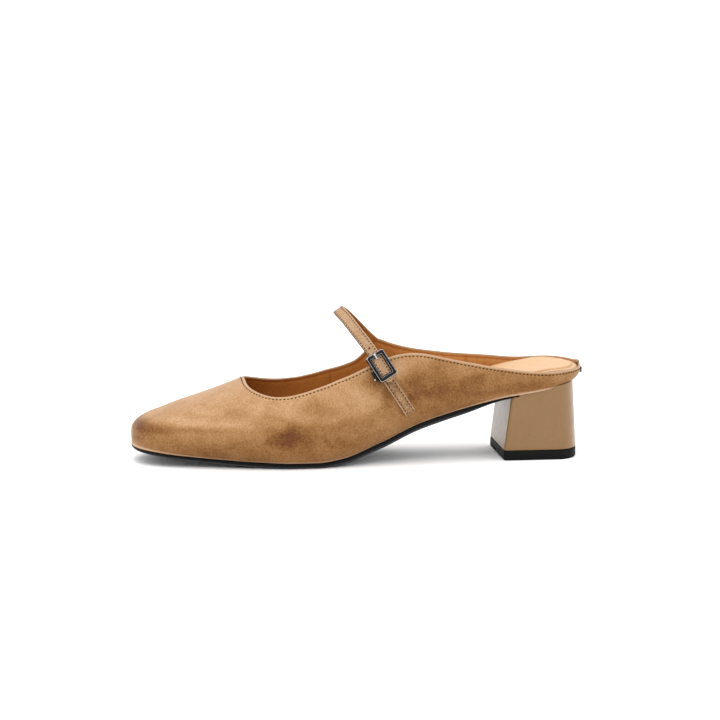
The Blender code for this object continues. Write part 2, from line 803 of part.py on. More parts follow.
def make_buckle():
    top = FRAME_LIFT + BUCKLE_DEPTH / 2
    under = top - BUCKLE_DEPTH
    bottom = BAR_LIFT - CENTRE_BAR / 2
    height = top - bottom
    inside = BUCKLE_WIDTH - 2 * BUCKLE_SIDE
    size = (BUCKLE_LENGTH, BUCKLE_WIDTH, height)
    frame = make_object("buckle_frame", *buckle_box(0, 0, (top + bottom) / 2, size))
    size = (BUCKLE_LENGTH - 2 * BUCKLE_BAR, inside, 4 * height)
    cut(frame, make_cutter("window_cutter", *buckle_box(0, 0, top, size)))
    size = (2 * BUCKLE_LENGTH, inside, BUCKLE_WIDTH)
    cut(frame, make_cutter("passage_cutter", *buckle_box(0, 0, under - BUCKLE_WIDTH / 2, size)))
    size = (2 * BUCKLE_BAR, PRONG_WIDTH + 2 * GAP, 2 * (PRONG_THICKNESS + GAP))
    at = (BUCKLE_BAR - BUCKLE_LENGTH) / 2
    cut(frame, make_cutter("notch_cutter", *buckle_box(at, 0, top, size)))
    size = (CENTRE_BAR, BUCKLE_WIDTH - BUCKLE_SIDE, CENTRE_BAR)
    cut(frame, make_cutter("centre_bar", *buckle_box(0, 0, BAR_LIFT, size)), "UNION")


def make_prong():
    top = FRAME_LIFT + BUCKLE_DEPTH / 2
    at = (PRONG_LENGTH - BUCKLE_LENGTH) / 2 + GAP
    size = (PRONG_LENGTH, PRONG_WIDTH, PRONG_THICKNESS)
    make_object("buckle_prong", *buckle_box(at, 0, top - PRONG_THICKNESS / 2, size))


# Back trim
def make_back_trim():
    top = float(edge_height(-HEEL_BACK, OUT))
    plate_x = -HEEL_BACK - GAP - PLATE_THICKNESS / 2
    plate_z = top - PLATE_DROP - PLATE_HEIGHT / 2
    size = (PLATE_THICKNESS, PLATE_WIDTH, PLATE_HEIGHT)
    make_object("back_plate", *box((plate_x, 0, plate_z), size))
    tab_x = -HEEL_BACK + TAB_LENGTH / 2 + GAP
    tab_z = top + GAP * 2 + TAB_HEIGHT / 2
    make_object("back_tab", *box((tab_x, 0, tab_z), (TAB_LENGTH, TAB_WIDTH, TAB_HEIGHT)))


def clear_scene():
    for item in list(bpy.data.objects):
        bpy.data.objects.remove(item, do_unlink=True)


clear_scene()
RINGS = outer_rings()
make_outsole()
make_heel()
make_top_lift()
make_upper(RINGS)
make_insole(RINGS)
make_strap()
make_chape()
make_buckle()
make_prong()
make_back_trim()
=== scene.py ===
"""Looks of the leather mule, left shoe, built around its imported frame.

Metres, in the frame's own axes: +X points at the toe, +Y at the outer side and +Z up. The outlines
are read at shares of the shoe's length, counted from the back, as in the frame's own sizes.
"""

import math

import bmesh
import bpy
import numpy as np
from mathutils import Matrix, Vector, kdtree, noise


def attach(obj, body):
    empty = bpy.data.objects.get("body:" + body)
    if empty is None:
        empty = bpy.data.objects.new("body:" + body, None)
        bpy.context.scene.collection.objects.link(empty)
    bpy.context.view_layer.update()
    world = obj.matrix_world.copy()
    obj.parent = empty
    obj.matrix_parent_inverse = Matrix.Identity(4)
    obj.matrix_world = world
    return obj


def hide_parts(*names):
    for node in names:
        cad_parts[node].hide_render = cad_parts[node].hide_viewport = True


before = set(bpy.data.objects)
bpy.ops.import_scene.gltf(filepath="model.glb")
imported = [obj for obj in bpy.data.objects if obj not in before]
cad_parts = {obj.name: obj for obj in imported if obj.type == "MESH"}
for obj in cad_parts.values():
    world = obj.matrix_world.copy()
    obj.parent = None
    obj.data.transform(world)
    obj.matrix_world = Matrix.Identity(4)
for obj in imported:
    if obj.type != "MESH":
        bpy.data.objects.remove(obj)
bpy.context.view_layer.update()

# Sizes shared with the frame
SHOE_LENGTH = 0.250
HEEL_BACK = 0.0262
BALL_WIDTH = 0.0705
INSTEP = 0.043
HEEL_RISE = 0.0405
TOE_SPRING = 0.0066
SOLE_EDGE = 0.0027
GAP = 0.0003
UPPER_WALL = 0.0018
TOE_ROUND = 0.030
BACK_ROUND = 0.024
CROWN_ROUND = 0.014
SEAT_OVERHANG = 0.0045
THROAT_DEPTH = 0.0620
THROAT_ROUND = 0.029
FEATHER_TURN = math.radians(24)
FULLNESS = 2.2
TOE_SQUARENESS = 2.5
THROAT_SQUARENESS = 4.2
BACK_SQUARENESS = 2.2
SOLE_PROUD = 0.0006
SOLE_BEVEL = 0.0009
SOLE_STEP = 0.0003
SOLE_TONGUE = 0.0080
SEAT_PAD = 0.0105
HEEL_FRONT = 0.0200
HEEL_LENGTH = 0.0435
HEEL_WIDTH = 0.0473
HEEL_INSET = 0.0006
HEEL_BREAST_RAKE = 0.0037
HEEL_BACK_RAKE = 0.0022
HEEL_CORNER = 0.0020
HEEL_TURN = 0.0150
LIFT_THICKNESS = 0.0053
GROOVE_WIDTH = 0.0030
GROOVE_DEPTH = 0.0020
GROOVE_ACROSS = -0.0045
STRAP_WIDTH = 0.0064
STRAP_THICKNESS = 0.0013
CHAPE_WIDTH = 0.0060
CHAPE_THICKNESS = 0.0014
ROOT_SEEN = 0.0042
STRAP_TIP = 0.0100
STRAP_DIP = 0.0007
BUCKLE_LENGTH = 0.0155
BUCKLE_WIDTH = 0.0104
BUCKLE_BAR = 0.0020
BUCKLE_SIDE = 0.0017
BUCKLE_DEPTH = 0.0013
CENTRE_BAR = 0.0011
PRONG_LENGTH = 0.0042
PRONG_WIDTH = 0.0010
PRONG_THICKNESS = 0.0008
PLATE_WIDTH = 0.0060
PLATE_HEIGHT = 0.0034
PLATE_THICKNESS = 0.0008
PLATE_DROP = 0.0016
TAB_WIDTH = 0.0056
TAB_LENGTH = 0.0022
TAB_HEIGHT = 0.0015
ROOT_ALONG = 0.455
ROOT_UP = 1.130
STRAP_LEAN = math.radians(42)
TONGUE_STEP = HEEL_FRONT - SOLE_TONGUE - GAP

# Sections of the last, as shares: along of SHOE_LENGTH, across of BALL_WIDTH, and heights of
# INSTEP, HEEL_RISE, TOE_SPRING, SOLE_EDGE and SEAT_PAD
SECTION_COLUMNS = (
    "along", "centre", "sole_out", "sole_in", "wide_out", "wide_in", "wide_up",
    "crown_up", "heel_rise", "toe_rise", "edge", "sock",
)
SECTIONS = (
    (0.000, 0.000, 0.355, 0.355, 0.383, 0.383, 0.140, 1.08, 1.000, 0.00, 0.20, 0.56),
    (0.050, 0.000, 0.359, 0.359, 0.383, 0.383, 0.150, 1.12, 0.950, 0.00, 0.20, 0.76),
    (0.110, 0.000, 0.363, 0.359, 0.387, 0.386, 0.175, 1.20, 0.875, 0.00, 0.20, 1.00),
    (0.190, 0.000, 0.363, 0.355, 0.401, 0.389, 0.200, 1.32, 0.797, 0.00, 0.35, 0.92),
    (0.280, 0.000, 0.352, 0.326, 0.423, 0.391, 0.237, 1.49, 0.657, 0.00, 1.15, 0.65),
    (0.370, 0.000, 0.352, 0.305, 0.447, 0.394, 0.267, 1.69, 0.481, 0.00, 1.28, 0.42),
    (0.460, 0.000, 0.383, 0.348, 0.487, 0.426, 0.302, 1.76, 0.230, 0.00, 1.25, 0.36),
    (0.550, 0.000, 0.454, 0.475, 0.543, 0.494, 0.326, 1.66, 0.035, 0.00, 1.05, 0.34),
    (0.600, 0.000, 0.485, 0.505, 0.567, 0.529, 0.320, 1.47, 0.000, 0.00, 1.00, 0.34),
    (0.650, -0.004, 0.491, 0.515, 0.582, 0.550, 0.314, 1.28, 0.000, 0.00, 1.00, 0.34),
    (0.730, -0.014, 0.455, 0.501, 0.567, 0.548, 0.288, 1.02, 0.000, 0.09, 0.95, 0.34),
    (0.820, -0.028, 0.410, 0.451, 0.504, 0.501, 0.247, 0.78, 0.000, 0.30, 0.82, 0.34),
    (0.900, -0.038, 0.366, 0.390, 0.426, 0.431, 0.205, 0.585, 0.000, 0.55, 0.72, 0.33),
    (0.956, -0.042, 0.355, 0.358, 0.391, 0.391, 0.180, 0.430, 0.000, 0.80, 0.66, 0.32),
    (1.000, -0.042, 0.355, 0.355, 0.376, 0.376, 0.170, 0.340, 0.000, 1.00, 0.62, 0.32),
)

# The opening's edge: its height above the sole line on each side, in INSTEP shares
TOPLINE_COLUMNS = ("along", "edge_out", "edge_in")
TOPLINE = (
    (0.000, 0.155, 0.165),
    (0.060, 0.195, 0.222),
    (0.140, 0.295, 0.300),
    (0.200, 0.405, 0.390),
    (0.265, 0.575, 0.515),
    (0.320, 0.735, 0.645),
    (0.370, 0.895, 0.790),
    (0.410, 1.000, 0.955),
    (0.436, 1.045, 1.085),
    (0.452, 1.055, 1.150),
    (0.470, 1.058, 1.010),
    (0.500, 1.055, 0.935),
    (0.540, 1.038, 0.932),
    (0.590, 0.975, 0.895),
    (0.630, 0.905, 0.852),
    (0.670, 0.850, 0.838),
    (0.710, 0.820, 0.838),
    (0.752, 0.810, 0.838),
)

# The strap's middle line over the instep, as shares of SHOE_LENGTH, BALL_WIDTH and INSTEP
ARCH_COLUMNS = ("along", "across", "up")
ARCH = (
    (0.4725, -0.352, 1.260),
    (0.4950, -0.285, 1.455),
    (0.5225, -0.155, 1.680),
    (0.542, 0.000, 1.800),
    (0.529, 0.160, 1.700),
    (0.510, 0.305, 1.520),
    (0.494, 0.395, 1.360),
)

# The chape's middle line on the outer wall: share along, and height in INSTEP shares
WALL_RUN = (
    (0.464, 1.000),
    (0.446, 0.786),
    (0.422, 0.507),
    (0.399, 0.240),
)

# Fine detail
STATIONS = 250
FAN_START = 0.50
SAMPLES = 4001
SLOPE_STEP = 0.0005
TURN_ROWS = 16
OUTER_ROWS = 60
BODY_ROWS = 46
EDGE_ROWS = (0.0042, 0.0034, 0.0027, 0.0022, 0.0018, 0.0015, 0.0012, 0.0009, 0.0006, 0.0003, 0.0)
FOOT_ROWS = (0.0, 0.0004, 0.0008, 0.0013, 0.0020)
RIM_STEPS = 6
STITCH_INSET = 0.0013
STITCH_PITCH = 0.00207
STITCH_LENGTH = 0.00128
STITCH_RADIUS = 0.00032
STRAP_STITCH_INSET = 0.00105
STRAP_STITCH_PITCH = 0.00195
STRAP_STITCH_LENGTH = 0.00120
STRAP_STITCH_RADIUS = 0.00026
STRAP_EDGE = 0.00045
BAND_STEP = 0.0006
RIM_SKIVE = 0.66
ROOT_SKIVE = 0.0070
TIP_ROUND = 0.0034
TIP_SQUARENESS = 2.6
TIP_NARROWEST = 0.12
PAD_INSET = 0.0031
PAD_STEP = 0.00080
SEAT_LIFT = 0.0007
HEEL_SEAT = 0.0008
BUCKLE_CORNER = 0.0011
WINDOW_CORNER = 0.0005
SIDE_SLACK = 0.0001
BAR_PROUD = 0.00022
HINGE_PLACE = (0.0030, -0.0005, -0.0001)
HINGE_SIZE = (0.0056, 0.0019, 0.0014)
HINGE_ROUND = 0.0004
PIN_ALONG = 0.0046
PIN_LENGTH = 0.0020
PIN_RADIUS = 0.0005
PRONG_SEEN = 0.8
PRONG_DIP = 0.0010
PRONG_REST = 0.0002
PRONG_TIP = 0.36
OUT = 1
IN = -1

# Darker and paler places on the upper: share along, height above the sole line in INSTEP shares, reach
# along and up in metres, and strength. Above zero is darker: burnish, and painted shade beside the chape.
# Below zero is a paler place; those beside the buckle are painted highlight.
BURNISH_AND_PAINTED_LIGHT_COLUMNS = ("side", "along", "up", "long", "high", "strength")
BURNISH_AND_PAINTED_LIGHT = (
    (OUT, 0.980, 0.285, 0.0050, 0.0036, 0.54),
    (OUT, 0.992, 0.130, 0.0040, 0.0024, 0.42),
    (OUT, 0.950, 0.310, 0.0150, 0.0024, 0.44),
    (OUT, 0.890, 0.350, 0.0200, 0.0018, 0.30),
    (OUT, 0.775, 0.620, 0.0075, 0.0028, 0.26),
    (OUT, 0.860, 0.520, 0.0110, 0.0016, 0.20),
    (OUT, 0.668, 0.350, 0.0110, 0.0060, 0.74),
    (OUT, 0.712, 0.500, 0.0090, 0.0050, 0.30),
    (OUT, 0.640, 0.230, 0.0160, 0.0050, 0.08),
    (OUT, 0.608, 0.700, 0.0090, 0.0060, 0.35),
    (OUT, 0.640, 0.640, 0.0150, 0.0050, -0.20),
    (OUT, 0.555, 0.470, 0.0120, 0.0055, 0.12),
    (OUT, 0.474, 0.800, 0.0060, 0.0050, 0.52),
    # Painted shade beside the chape: at its top end and along its heel side
    (OUT, 0.450, 0.640, 0.0045, 0.0060, 0.58),
    (OUT, 0.388, 0.560, 0.0070, 0.0110, 0.54),
    (OUT, 0.350, 0.600, 0.0180, 0.0100, 0.30),
    (OUT, 0.325, 0.330, 0.0180, 0.0075, 0.36),
    (OUT, 0.262, 0.330, 0.0280, 0.0080, 0.27),
    (OUT, 0.330, 0.120, 0.0260, 0.0070, 0.26),
    (OUT, 0.160, 0.120, 0.0240, 0.0050, 0.36),
    (OUT, 0.520, 0.200, 0.0220, 0.0050, 0.10),
    (OUT, 0.780, 0.130, 0.0350, 0.0060, 0.29),
    # Painted highlight beside the buckle
    (OUT, 0.428, 0.830, 0.0032, 0.0040, -0.80),
    (OUT, 0.400, 0.900, 0.0090, 0.0065, -0.40),
    (OUT, 0.500, 0.640, 0.0090, 0.0075, -0.30),
    (OUT, 0.790, 0.420, 0.0300, 0.0055, -0.34),
    (OUT, 0.900, 0.420, 0.0220, 0.0050, -0.30),
    (IN, 0.982, 0.285, 0.0060, 0.0042, 0.56),
    (IN, 0.930, 0.320, 0.0200, 0.0026, 0.40),
    (IN, 0.690, 0.330, 0.0120, 0.0060, 0.62),
    (IN, 0.620, 0.560, 0.0110, 0.0065, 0.34),
    (IN, 0.520, 0.350, 0.0200, 0.0070, 0.36),
    (IN, 0.455, 0.760, 0.0070, 0.0070, 0.26),
    (IN, 0.370, 0.420, 0.0150, 0.0075, 0.40),
    (IN, 0.240, 0.240, 0.0220, 0.0060, 0.34),
    (IN, 0.130, 0.130, 0.0180, 0.0040, 0.40),
    (IN, 0.800, 0.400, 0.0300, 0.0055, -0.30),
    (IN, 0.560, 0.640, 0.0120, 0.0070, -0.26),
)

# How much painted shade, with some burnish, darkens the wall below its ridge, and how much a painted
# highlight makes it paler above the ridge toward the toe
LOWER_SHADE_AND_BURNISH = 0.27
UPPER_HIGHLIGHT = 0.38

# Creases in the upper: the side, its ends as share along and height in INSTEP shares, how far its
# middle bows along the shoe, its half width and its depth.
CREASE_COLUMNS = ("side", "from_along", "from_up", "to_along", "to_up", "bow", "half", "depth")
CREASES = (
    # Along the chape's heel side: a shallow groove whose darkening is a painted shadow line
    (OUT, 0.379, 0.230, 0.428, 0.760, 0.0, 0.0009, 0.00034),
    (OUT, 0.545, 0.160, 0.590, 0.420, 0.004, 0.0016, 0.00022),
    (OUT, 0.510, 0.120, 0.560, 0.330, 0.003, 0.0014, 0.00018),
    (OUT, 0.470, 0.140, 0.500, 0.360, -0.003, 0.0015, 0.00018),
    (OUT, 0.390, 0.180, 0.420, 0.400, 0.003, 0.0016, 0.00016),
    (OUT, 0.330, 0.220, 0.360, 0.560, 0.004, 0.0020, 0.00020),
    (OUT, 0.285, 0.200, 0.300, 0.440, -0.003, 0.0018, 0.00016),
    (OUT, 0.150, 0.060, 0.270, 0.180, 0.004, 0.0020, 0.00022),
    (OUT, 0.640, 0.560, 0.730, 0.640, 0.004, 0.0024, 0.00022),
    (OUT, 0.600, 0.500, 0.690, 0.540, 0.005, 0.0022, 0.00018),
    (OUT, 0.905, 0.300, 0.985, 0.230, 0.003, 0.0020, 0.00016),
    (IN, 0.560, 0.180, 0.600, 0.460, 0.004, 0.0016, 0.00020),
    (IN, 0.520, 0.150, 0.550, 0.420, -0.004, 0.0016, 0.00020),
    (IN, 0.440, 0.180, 0.480, 0.500, 0.004, 0.0018, 0.00022),
    (IN, 0.340, 0.200, 0.370, 0.480, 0.004, 0.0018, 0.00018),
    (IN, 0.160, 0.080, 0.280, 0.200, 0.004, 0.0020, 0.00020),
    (IN, 0.640, 0.500, 0.730, 0.600, 0.004, 0.0024, 0.00022),
)

# Upright seams in the lining: the side and the share along
LINING_SEAMS = ((IN, 0.548), (OUT, 0.300), (IN, 0.240))

# How much painted shade darkens the leather in a crease, for each metre of its depth
CREASE_SHADE = 900.0

# How bright the studio is next to a plain white room, and its lights: name, place, width and power
LIGHT_LEVEL = 1.42
ROOM_LIGHT = 1.06
LIGHTS = (
    ("key", (0.45, 0.60, 1.05), 0.8, 3.2),
    ("top", (0.05, -0.15, 1.30), 1.2, 3.2),
    ("side", (-0.90, 0.55, 0.60), 0.7, 0.8),
)
LIGHTS_AIM = (0.09, 0, 0.03)
FLOOR_HALF = 4.0
CAMERA_TURN = math.radians(6.5)
CAMERA_RISE = math.radians(8.75)
CAMERA_DISTANCE = 1.3
CAMERA_TARGET = (0.09715, 0.0, 0.05395)
CAMERA_LENS = 117.39

# Places along the strap's middle line of its punched holes, in metres from the buckle's middle
HOLES = (-0.0125, -0.0075)
HOLE_RADIUS = 0.00062


# Curves through table rows
def slopes(x, y):
    """Slopes at the rows for a cubic curve that never overshoots them."""
    steps = np.diff(x)
    rates = np.diff(y) / steps
    found = np.zeros_like(y)
    for i in range(1, len(y) - 1):
        if rates[i - 1] * rates[i] > 0:
            before = 2 * steps[i] + steps[i - 1]
            after = steps[i] + 2 * steps[i - 1]
            found[i] = (before + after) / (before / rates[i - 1] + after / rates[i])
    found[0] = rates[0]
    found[-1] = rates[-1]
    return found


def table_curve(columns, rows, name):
    """A smooth function of the share along the shoe, through one column of a table."""
    values = np.array(rows, float)
    x = values[:, 0]
    y = values[:, columns.index(name)]
    m = slopes(x, y)

    def read(share):
        at = np.clip(np.asarray(share, float), x[0], x[-1])
        i = np.clip(np.searchsorted(x, at) - 1, 0, len(x) - 2)
        width = x[i + 1] - x[i]
        t = (at - x[i]) / width
        return (
            (1 + 2 * t) * (1 - t) ** 2 * y[i]
            + t * (1 - t) ** 2 * width * m[i]
            + t**2 * (3 - 2 * t) * y[i + 1]
            + t**2 * (t - 1) * width * m[i + 1]
        )

    return read


LAST = {name: table_curve(SECTION_COLUMNS, SECTIONS, name) for name in SECTION_COLUMNS[1:]}
EDGE = {name: table_curve(TOPLINE_COLUMNS, TOPLINE, name) for name in TOPLINE_COLUMNS[1:]}


def falloff(depth, power):
    """A superellipse's quarter: 1 at no depth and 0 at full depth."""
    return (1 - np.clip(depth, 0, 1) ** power) ** (1 / power)


def smooth(low, high, value):
    """0 below low, 1 above high and an even turn between."""
    t = np.clip((value - low) / (high - low), 0, 1)
    return t * t * (3 - 2 * t)


def end_rounding(share):
    """How far the plan outline has closed at the toe and at the back."""
    toe = (share - (1 - TOE_ROUND / SHOE_LENGTH)) * SHOE_LENGTH / TOE_ROUND
    back = 1 - share * SHOE_LENGTH / BACK_ROUND
    return falloff(toe, TOE_SQUARENESS) * falloff(back, BACK_SQUARENESS)


def share_at(x):
    return (np.asarray(x, float) + HEEL_BACK) / SHOE_LENGTH


def x_at(share):
    return np.asarray(share, float) * SHOE_LENGTH - HEEL_BACK


def sole_x(share):
    return x_at(share) + SEAT_OVERHANG * (1 - np.asarray(share, float)) ** 2


def sole_line(x):
    """Height of the feather line, where the upper meets the sole."""
    share = share_at(x)
    rise = HEEL_RISE * LAST["heel_rise"](share) + TOE_SPRING * LAST["toe_rise"](share)
    return GAP + SOLE_EDGE + rise


def centre(share):
    return BALL_WIDTH * LAST["centre"](share)


def half_width(share, side, level):
    name = level + ("_out" if side == OUT else "_in")
    return BALL_WIDTH * LAST[name](share) * end_rounding(share)


def widest_height(x):
    return sole_line(x) + INSTEP * LAST["wide_up"](share_at(x))


def crown_height(x):
    share = share_at(x)
    closing = falloff((x - x_at(1) + CROWN_ROUND) / CROWN_ROUND, FULLNESS)
    base = INSTEP * LAST["wide_up"](share)
    return sole_line(x) + base + (INSTEP * LAST["crown_up"](share) - base) * closing


def upper_height(x, y, side):
    """Height of the upper's outer face above a point in plan."""
    share = share_at(x)
    reach = np.abs(y - centre(share)) / np.maximum(half_width(share, side, "wide"), GAP)
    low = widest_height(x)
    return low + (crown_height(x) - low) * falloff(reach, FULLNESS)


def upper_side(x, z, side):
    """Distance across of the upper's outer face at a height above its widest line."""
    share = share_at(x)
    low = widest_height(x)
    up = np.clip((z - low) / (crown_height(x) - low), 0, 1)
    return centre(share) + side * half_width(share, side, "wide") * falloff(up, FULLNESS)


def edge_height(x, side):
    name = "edge_out" if side == OUT else "edge_in"
    return sole_line(x) + INSTEP * EDGE[name](share_at(x))


def stations(count):
    """Shares along the shoe, at equal steps along its plan outline."""
    share = (1 - np.cos(np.linspace(0, math.pi, SAMPLES))) / 2
    x = x_at(share)
    y = half_width(share, OUT, "wide")
    length = np.concatenate([[0], np.cumsum(np.hypot(np.diff(x), np.diff(y)))])
    return np.interp(np.linspace(0, length[-1], count + 1), length, share)


SHARES = stations(STATIONS)


def topline_path(side):
    """The opening's edge from the back to the middle of the throat."""
    throat_x = x_at(1) - THROAT_DEPTH
    turn = (1 - np.cos(np.linspace(0, math.pi, SAMPLES))) / 2
    x = -HEEL_BACK + (throat_x + HEEL_BACK) * turn
    closing = falloff((x - throat_x + THROAT_ROUND) / THROAT_ROUND, THROAT_SQUARENESS)
    straight = upper_side(x, edge_height(x, side), side)
    y = centre(share_at(x)) + (straight - centre(share_at(x))) * closing
    front = x > throat_x - THROAT_ROUND
    z = np.where(front, upper_height(x, y, side), edge_height(x, side))
    return np.stack([x, y, z], 1)


def topline_points(side):
    """One point of the opening's edge for each station. Behind the fan both share their X."""
    path = topline_path(side)
    length = np.concatenate([[0], np.cumsum(np.hypot(*np.diff(path[:, :2], axis=0).T))])
    wide_x = x_at(SHARES)
    wide_y = half_width(SHARES, side, "wide")
    outline = np.concatenate([[0], np.cumsum(np.hypot(np.diff(wide_x), np.diff(wide_y)))])
    first = int(np.searchsorted(SHARES, FAN_START))
    start = np.interp(wide_x[first], path[:, 0], length)
    along = (outline - outline[first]) / (outline[-1] - outline[first])
    place = np.where(
        np.arange(len(SHARES)) <= first,
        np.interp(wide_x, path[:, 0], length),
        start + (length[-1] - start) * along,
    )
    return np.stack([np.interp(place, length, path[:, k]) for k in range(3)], 1), first


def feather_points(side):
    x = sole_x(SHARES)
    y = centre(SHARES) + side * half_width(SHARES, side, "sole")
    return np.column_stack([x, y, sole_line(x)])


def dense_columns(side):
    """Outer face of one side: rows by stations, feather first and opening last."""
    top, first = topline_points(side)
    wide_x = x_at(SHARES)
    wide_y = centre(SHARES) + side * half_width(SHARES, side, "wide")
    wide = np.stack([wide_x, wide_y, widest_height(wide_x)], 1)
    sole = feather_points(side)
    rows = []
    for k in range(TURN_ROWS):
        turn = FEATHER_TURN + (math.pi / 2 - FEATHER_TURN) * k / TURN_ROWS
        plan = (math.sin(turn) - math.sin(FEATHER_TURN)) / (1 - math.sin(FEATHER_TURN))
        up = 1 - math.cos(turn) / math.cos(FEATHER_TURN)
        rows.append(sole + (wide - sole) * np.array([plan, plan, up]))
    low = widest_height(top[:, 0])
    reach = np.clip((top[:, 2] - low) / (crown_height(top[:, 0]) - low), 0, 1)
    angle = np.arcsin(reach ** (FULLNESS / 2))
    behind = np.arange(len(SHARES)) <= first
    start = widest_height(wide_x)
    rows.append(wide)
    for k in range(1, OUTER_ROWS):
        part = angle * k / OUTER_ROWS
        fold = (1 - np.cos(part) ** (2 / FULLNESS)) / (1 - np.cos(angle) ** (2 / FULLNESS))
        plan = wide[:, :2] + (top[:, :2] - wide[:, :2]) * fold[:, None]
        height = upper_height(plan[:, 0], plan[:, 1], side)
        wall = start + (crown_height(wide_x) - start) * np.sin(part) ** (2 / FULLNESS)
        rows.append(np.column_stack([plan, np.where(behind, wall, height)]))
    rows.append(top)
    return np.array(rows)


def even_rows(columns):
    """The columns at rows of their own: close together by the sole and by the opening."""
    length = np.linalg.norm(np.diff(columns, axis=0), axis=2)
    length = np.concatenate([np.zeros((1, columns.shape[1])), np.cumsum(length, axis=0)])
    found = np.zeros((len(FOOT_ROWS) + BODY_ROWS + len(EDGE_ROWS), columns.shape[1], 3))
    for j in range(columns.shape[1]):
        whole = length[-1, j]
        squeeze = min(1.0, whole / 0.02)
        low = FOOT_ROWS[-1] * squeeze
        high = whole - EDGE_ROWS[0] * squeeze
        body = np.linspace(low, high, BODY_ROWS + 2)[1:-1]
        foot = np.array(FOOT_ROWS) * squeeze
        edge = whole - np.array(EDGE_ROWS) * squeeze
        places = np.concatenate([foot, body, edge])
        for k in range(3):
            found[:, j, k] = np.interp(places, length[:, j], columns[:, j, k])
    return found


def outer_rings():
    """Closed loops round the upper: the outer side to the toe, then the inner side back."""
    out_side = even_rows(dense_columns(OUT))
    in_side = even_rows(dense_columns(IN))
    return np.concatenate([out_side, in_side[:, -2:0:-1]], axis=1)


def ring_normals(rings):
    """Normals of a grid of loops, pointing away from the shoe's middle."""
    around = np.roll(rings, -1, axis=1) - np.roll(rings, 1, axis=1)
    up = np.gradient(rings, axis=0)
    normals = np.cross(around, up)
    normals /= np.linalg.norm(normals, axis=2, keepdims=True)
    middle = rings.mean(axis=(0, 1))
    outward = np.sum((rings - middle) * normals) > 0
    return normals if outward else -normals


# Mesh making
def tube_faces(loops, count, closed):
    """Quads between loops of equal count, the last joined to the first where closed."""
    k = np.arange(loops if closed else loops - 1)[:, None]
    i = np.arange(count)[None, :]
    after = (i + 1) % count
    above = (k + 1) % loops
    quads = [k * count + i, k * count + after, above * count + after, above * count + i]
    return np.stack([np.broadcast_to(q, (len(k), count)) for q in quads], 2).reshape(-1, 4)


def make_piece(name, points, faces, materials, zones=None, fields=None, sharp=42):
    """A closed mesh with one material for each zone and a value of each field for each point."""
    mesh = bpy.data.meshes.new(name)
    mesh.from_pydata(np.asarray(points, float).tolist(), [], [list(map(int, f)) for f in faces])
    work = bmesh.new()
    work.from_mesh(mesh)
    bmesh.ops.recalc_face_normals(work, faces=work.faces)
    work.to_mesh(mesh)
    work.free()
    for material in materials:
        mesh.materials.append(material)
    if zones is not None:
        mesh.polygons.foreach_set("material_index", np.asarray(zones, np.int32))
    for field, values in (fields or {}).items():
        layer = mesh.attributes.new(field, "FLOAT", "POINT")
        layer.data.foreach_set("value", np.asarray(values, np.float32))
    mesh.shade_smooth()
    mesh.set_sharp_from_angle(angle=math.radians(sharp))
    piece = bpy.data.objects.new(name, mesh)
    bpy.context.scene.collection.objects.link(piece)
    return piece


def dress(piece, node):
    """The piece stands for a node and rides with the shoe."""
    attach(piece, "root")
    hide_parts(node)


def distances(points, path):
    """Distance from each point to the nearest point of a path, and that point's index."""
    tree = kdtree.KDTree(len(path))
    for i, place in enumerate(path):
        tree.insert(place, i)
    tree.balance()
    found = [tree.find(p) for p in points]
    return np.array([f[2] for f in found]), np.array([f[1] for f in found])


def clouds(points, scale, seed):
    """Soft noise from about -1 to 1 at each point, with features of 1 / scale metres."""
    shift = Vector((seed * 7.3, seed * 3.1, seed * 5.7))
    return np.array([noise.noise(Vector(p) * scale + shift) for p in points])


# Materials
def srgb(red, green, blue):
    """A colour in linear light, from the values of 0 to 255 that it has under the studio lights."""
    values = np.array([red, green, blue]) / 255
    linear = np.where(values <= 0.04045, values / 12.92, ((values + 0.055) / 1.055) ** 2.4)
    return (*(linear / LIGHT_LEVEL).tolist(), 1.0)


def new_material(name, colour, roughness, **inputs):
    material = bpy.data.materials.new(name)
    material.use_nodes = True
    tree = material.node_tree
    shader = tree.nodes["Principled BSDF"]
    shader.inputs["Base Color"].default_value = colour
    shader.inputs["Roughness"].default_value = roughness
    for key, value in inputs.items():
        shader.inputs[key.replace("_", " ")].default_value = value
    return material, tree, shader


def add(tree, kind, settings=None, **inputs):
    """A shader node, with its settings, and its inputs set or linked by name."""
    node = tree.nodes.new("ShaderNode" + kind)
    for key, value in (settings or {}).items():
        setattr(node, key, value)
    for key, value in inputs.items():
        socket = node.inputs[key.replace("_", " ")]
        if isinstance(value, bpy.types.NodeSocket):
            tree.links.new(value, socket)
        else:
            socket.default_value = value
    return node


def calculate(tree, operation, *values):
    node = tree.nodes.new("ShaderNodeMath")
    node.operation = operation
    for socket, value in zip(node.inputs, values):
        if isinstance(value, bpy.types.NodeSocket):
            tree.links.new(value, socket)
        else:
            socket.default_value = value
    return node.outputs[0]


def ramp(tree, value, stops):
    """A colour ramp through (position, colour) stops."""
    node = add(tree, "ValToRGB", Fac=value)
    elements = node.color_ramp.elements
    while len(elements) < len(stops):
        elements.new(0.5)
    for element, (position, colour) in zip(elements, stops):
        element.position = position
        element.color = colour
    return node.outputs["Color"]


def blend_colours(tree, share, first, second):
    node = tree.nodes.new("ShaderNodeMix")
    node.data_type = "RGBA"
    for socket, value in zip((node.inputs[0], node.inputs[6], node.inputs[7]), (share, first, second)):
        if isinstance(value, bpy.types.NodeSocket):
            tree.links.new(value, socket)
        else:
            socket.default_value = value
    return node.outputs[2]


def field(tree, name):
    return add(tree, "Attribute", {"attribute_name": name}).outputs["Fac"]


def place(tree):
    return add(tree, "TexCoord").outputs["Object"]


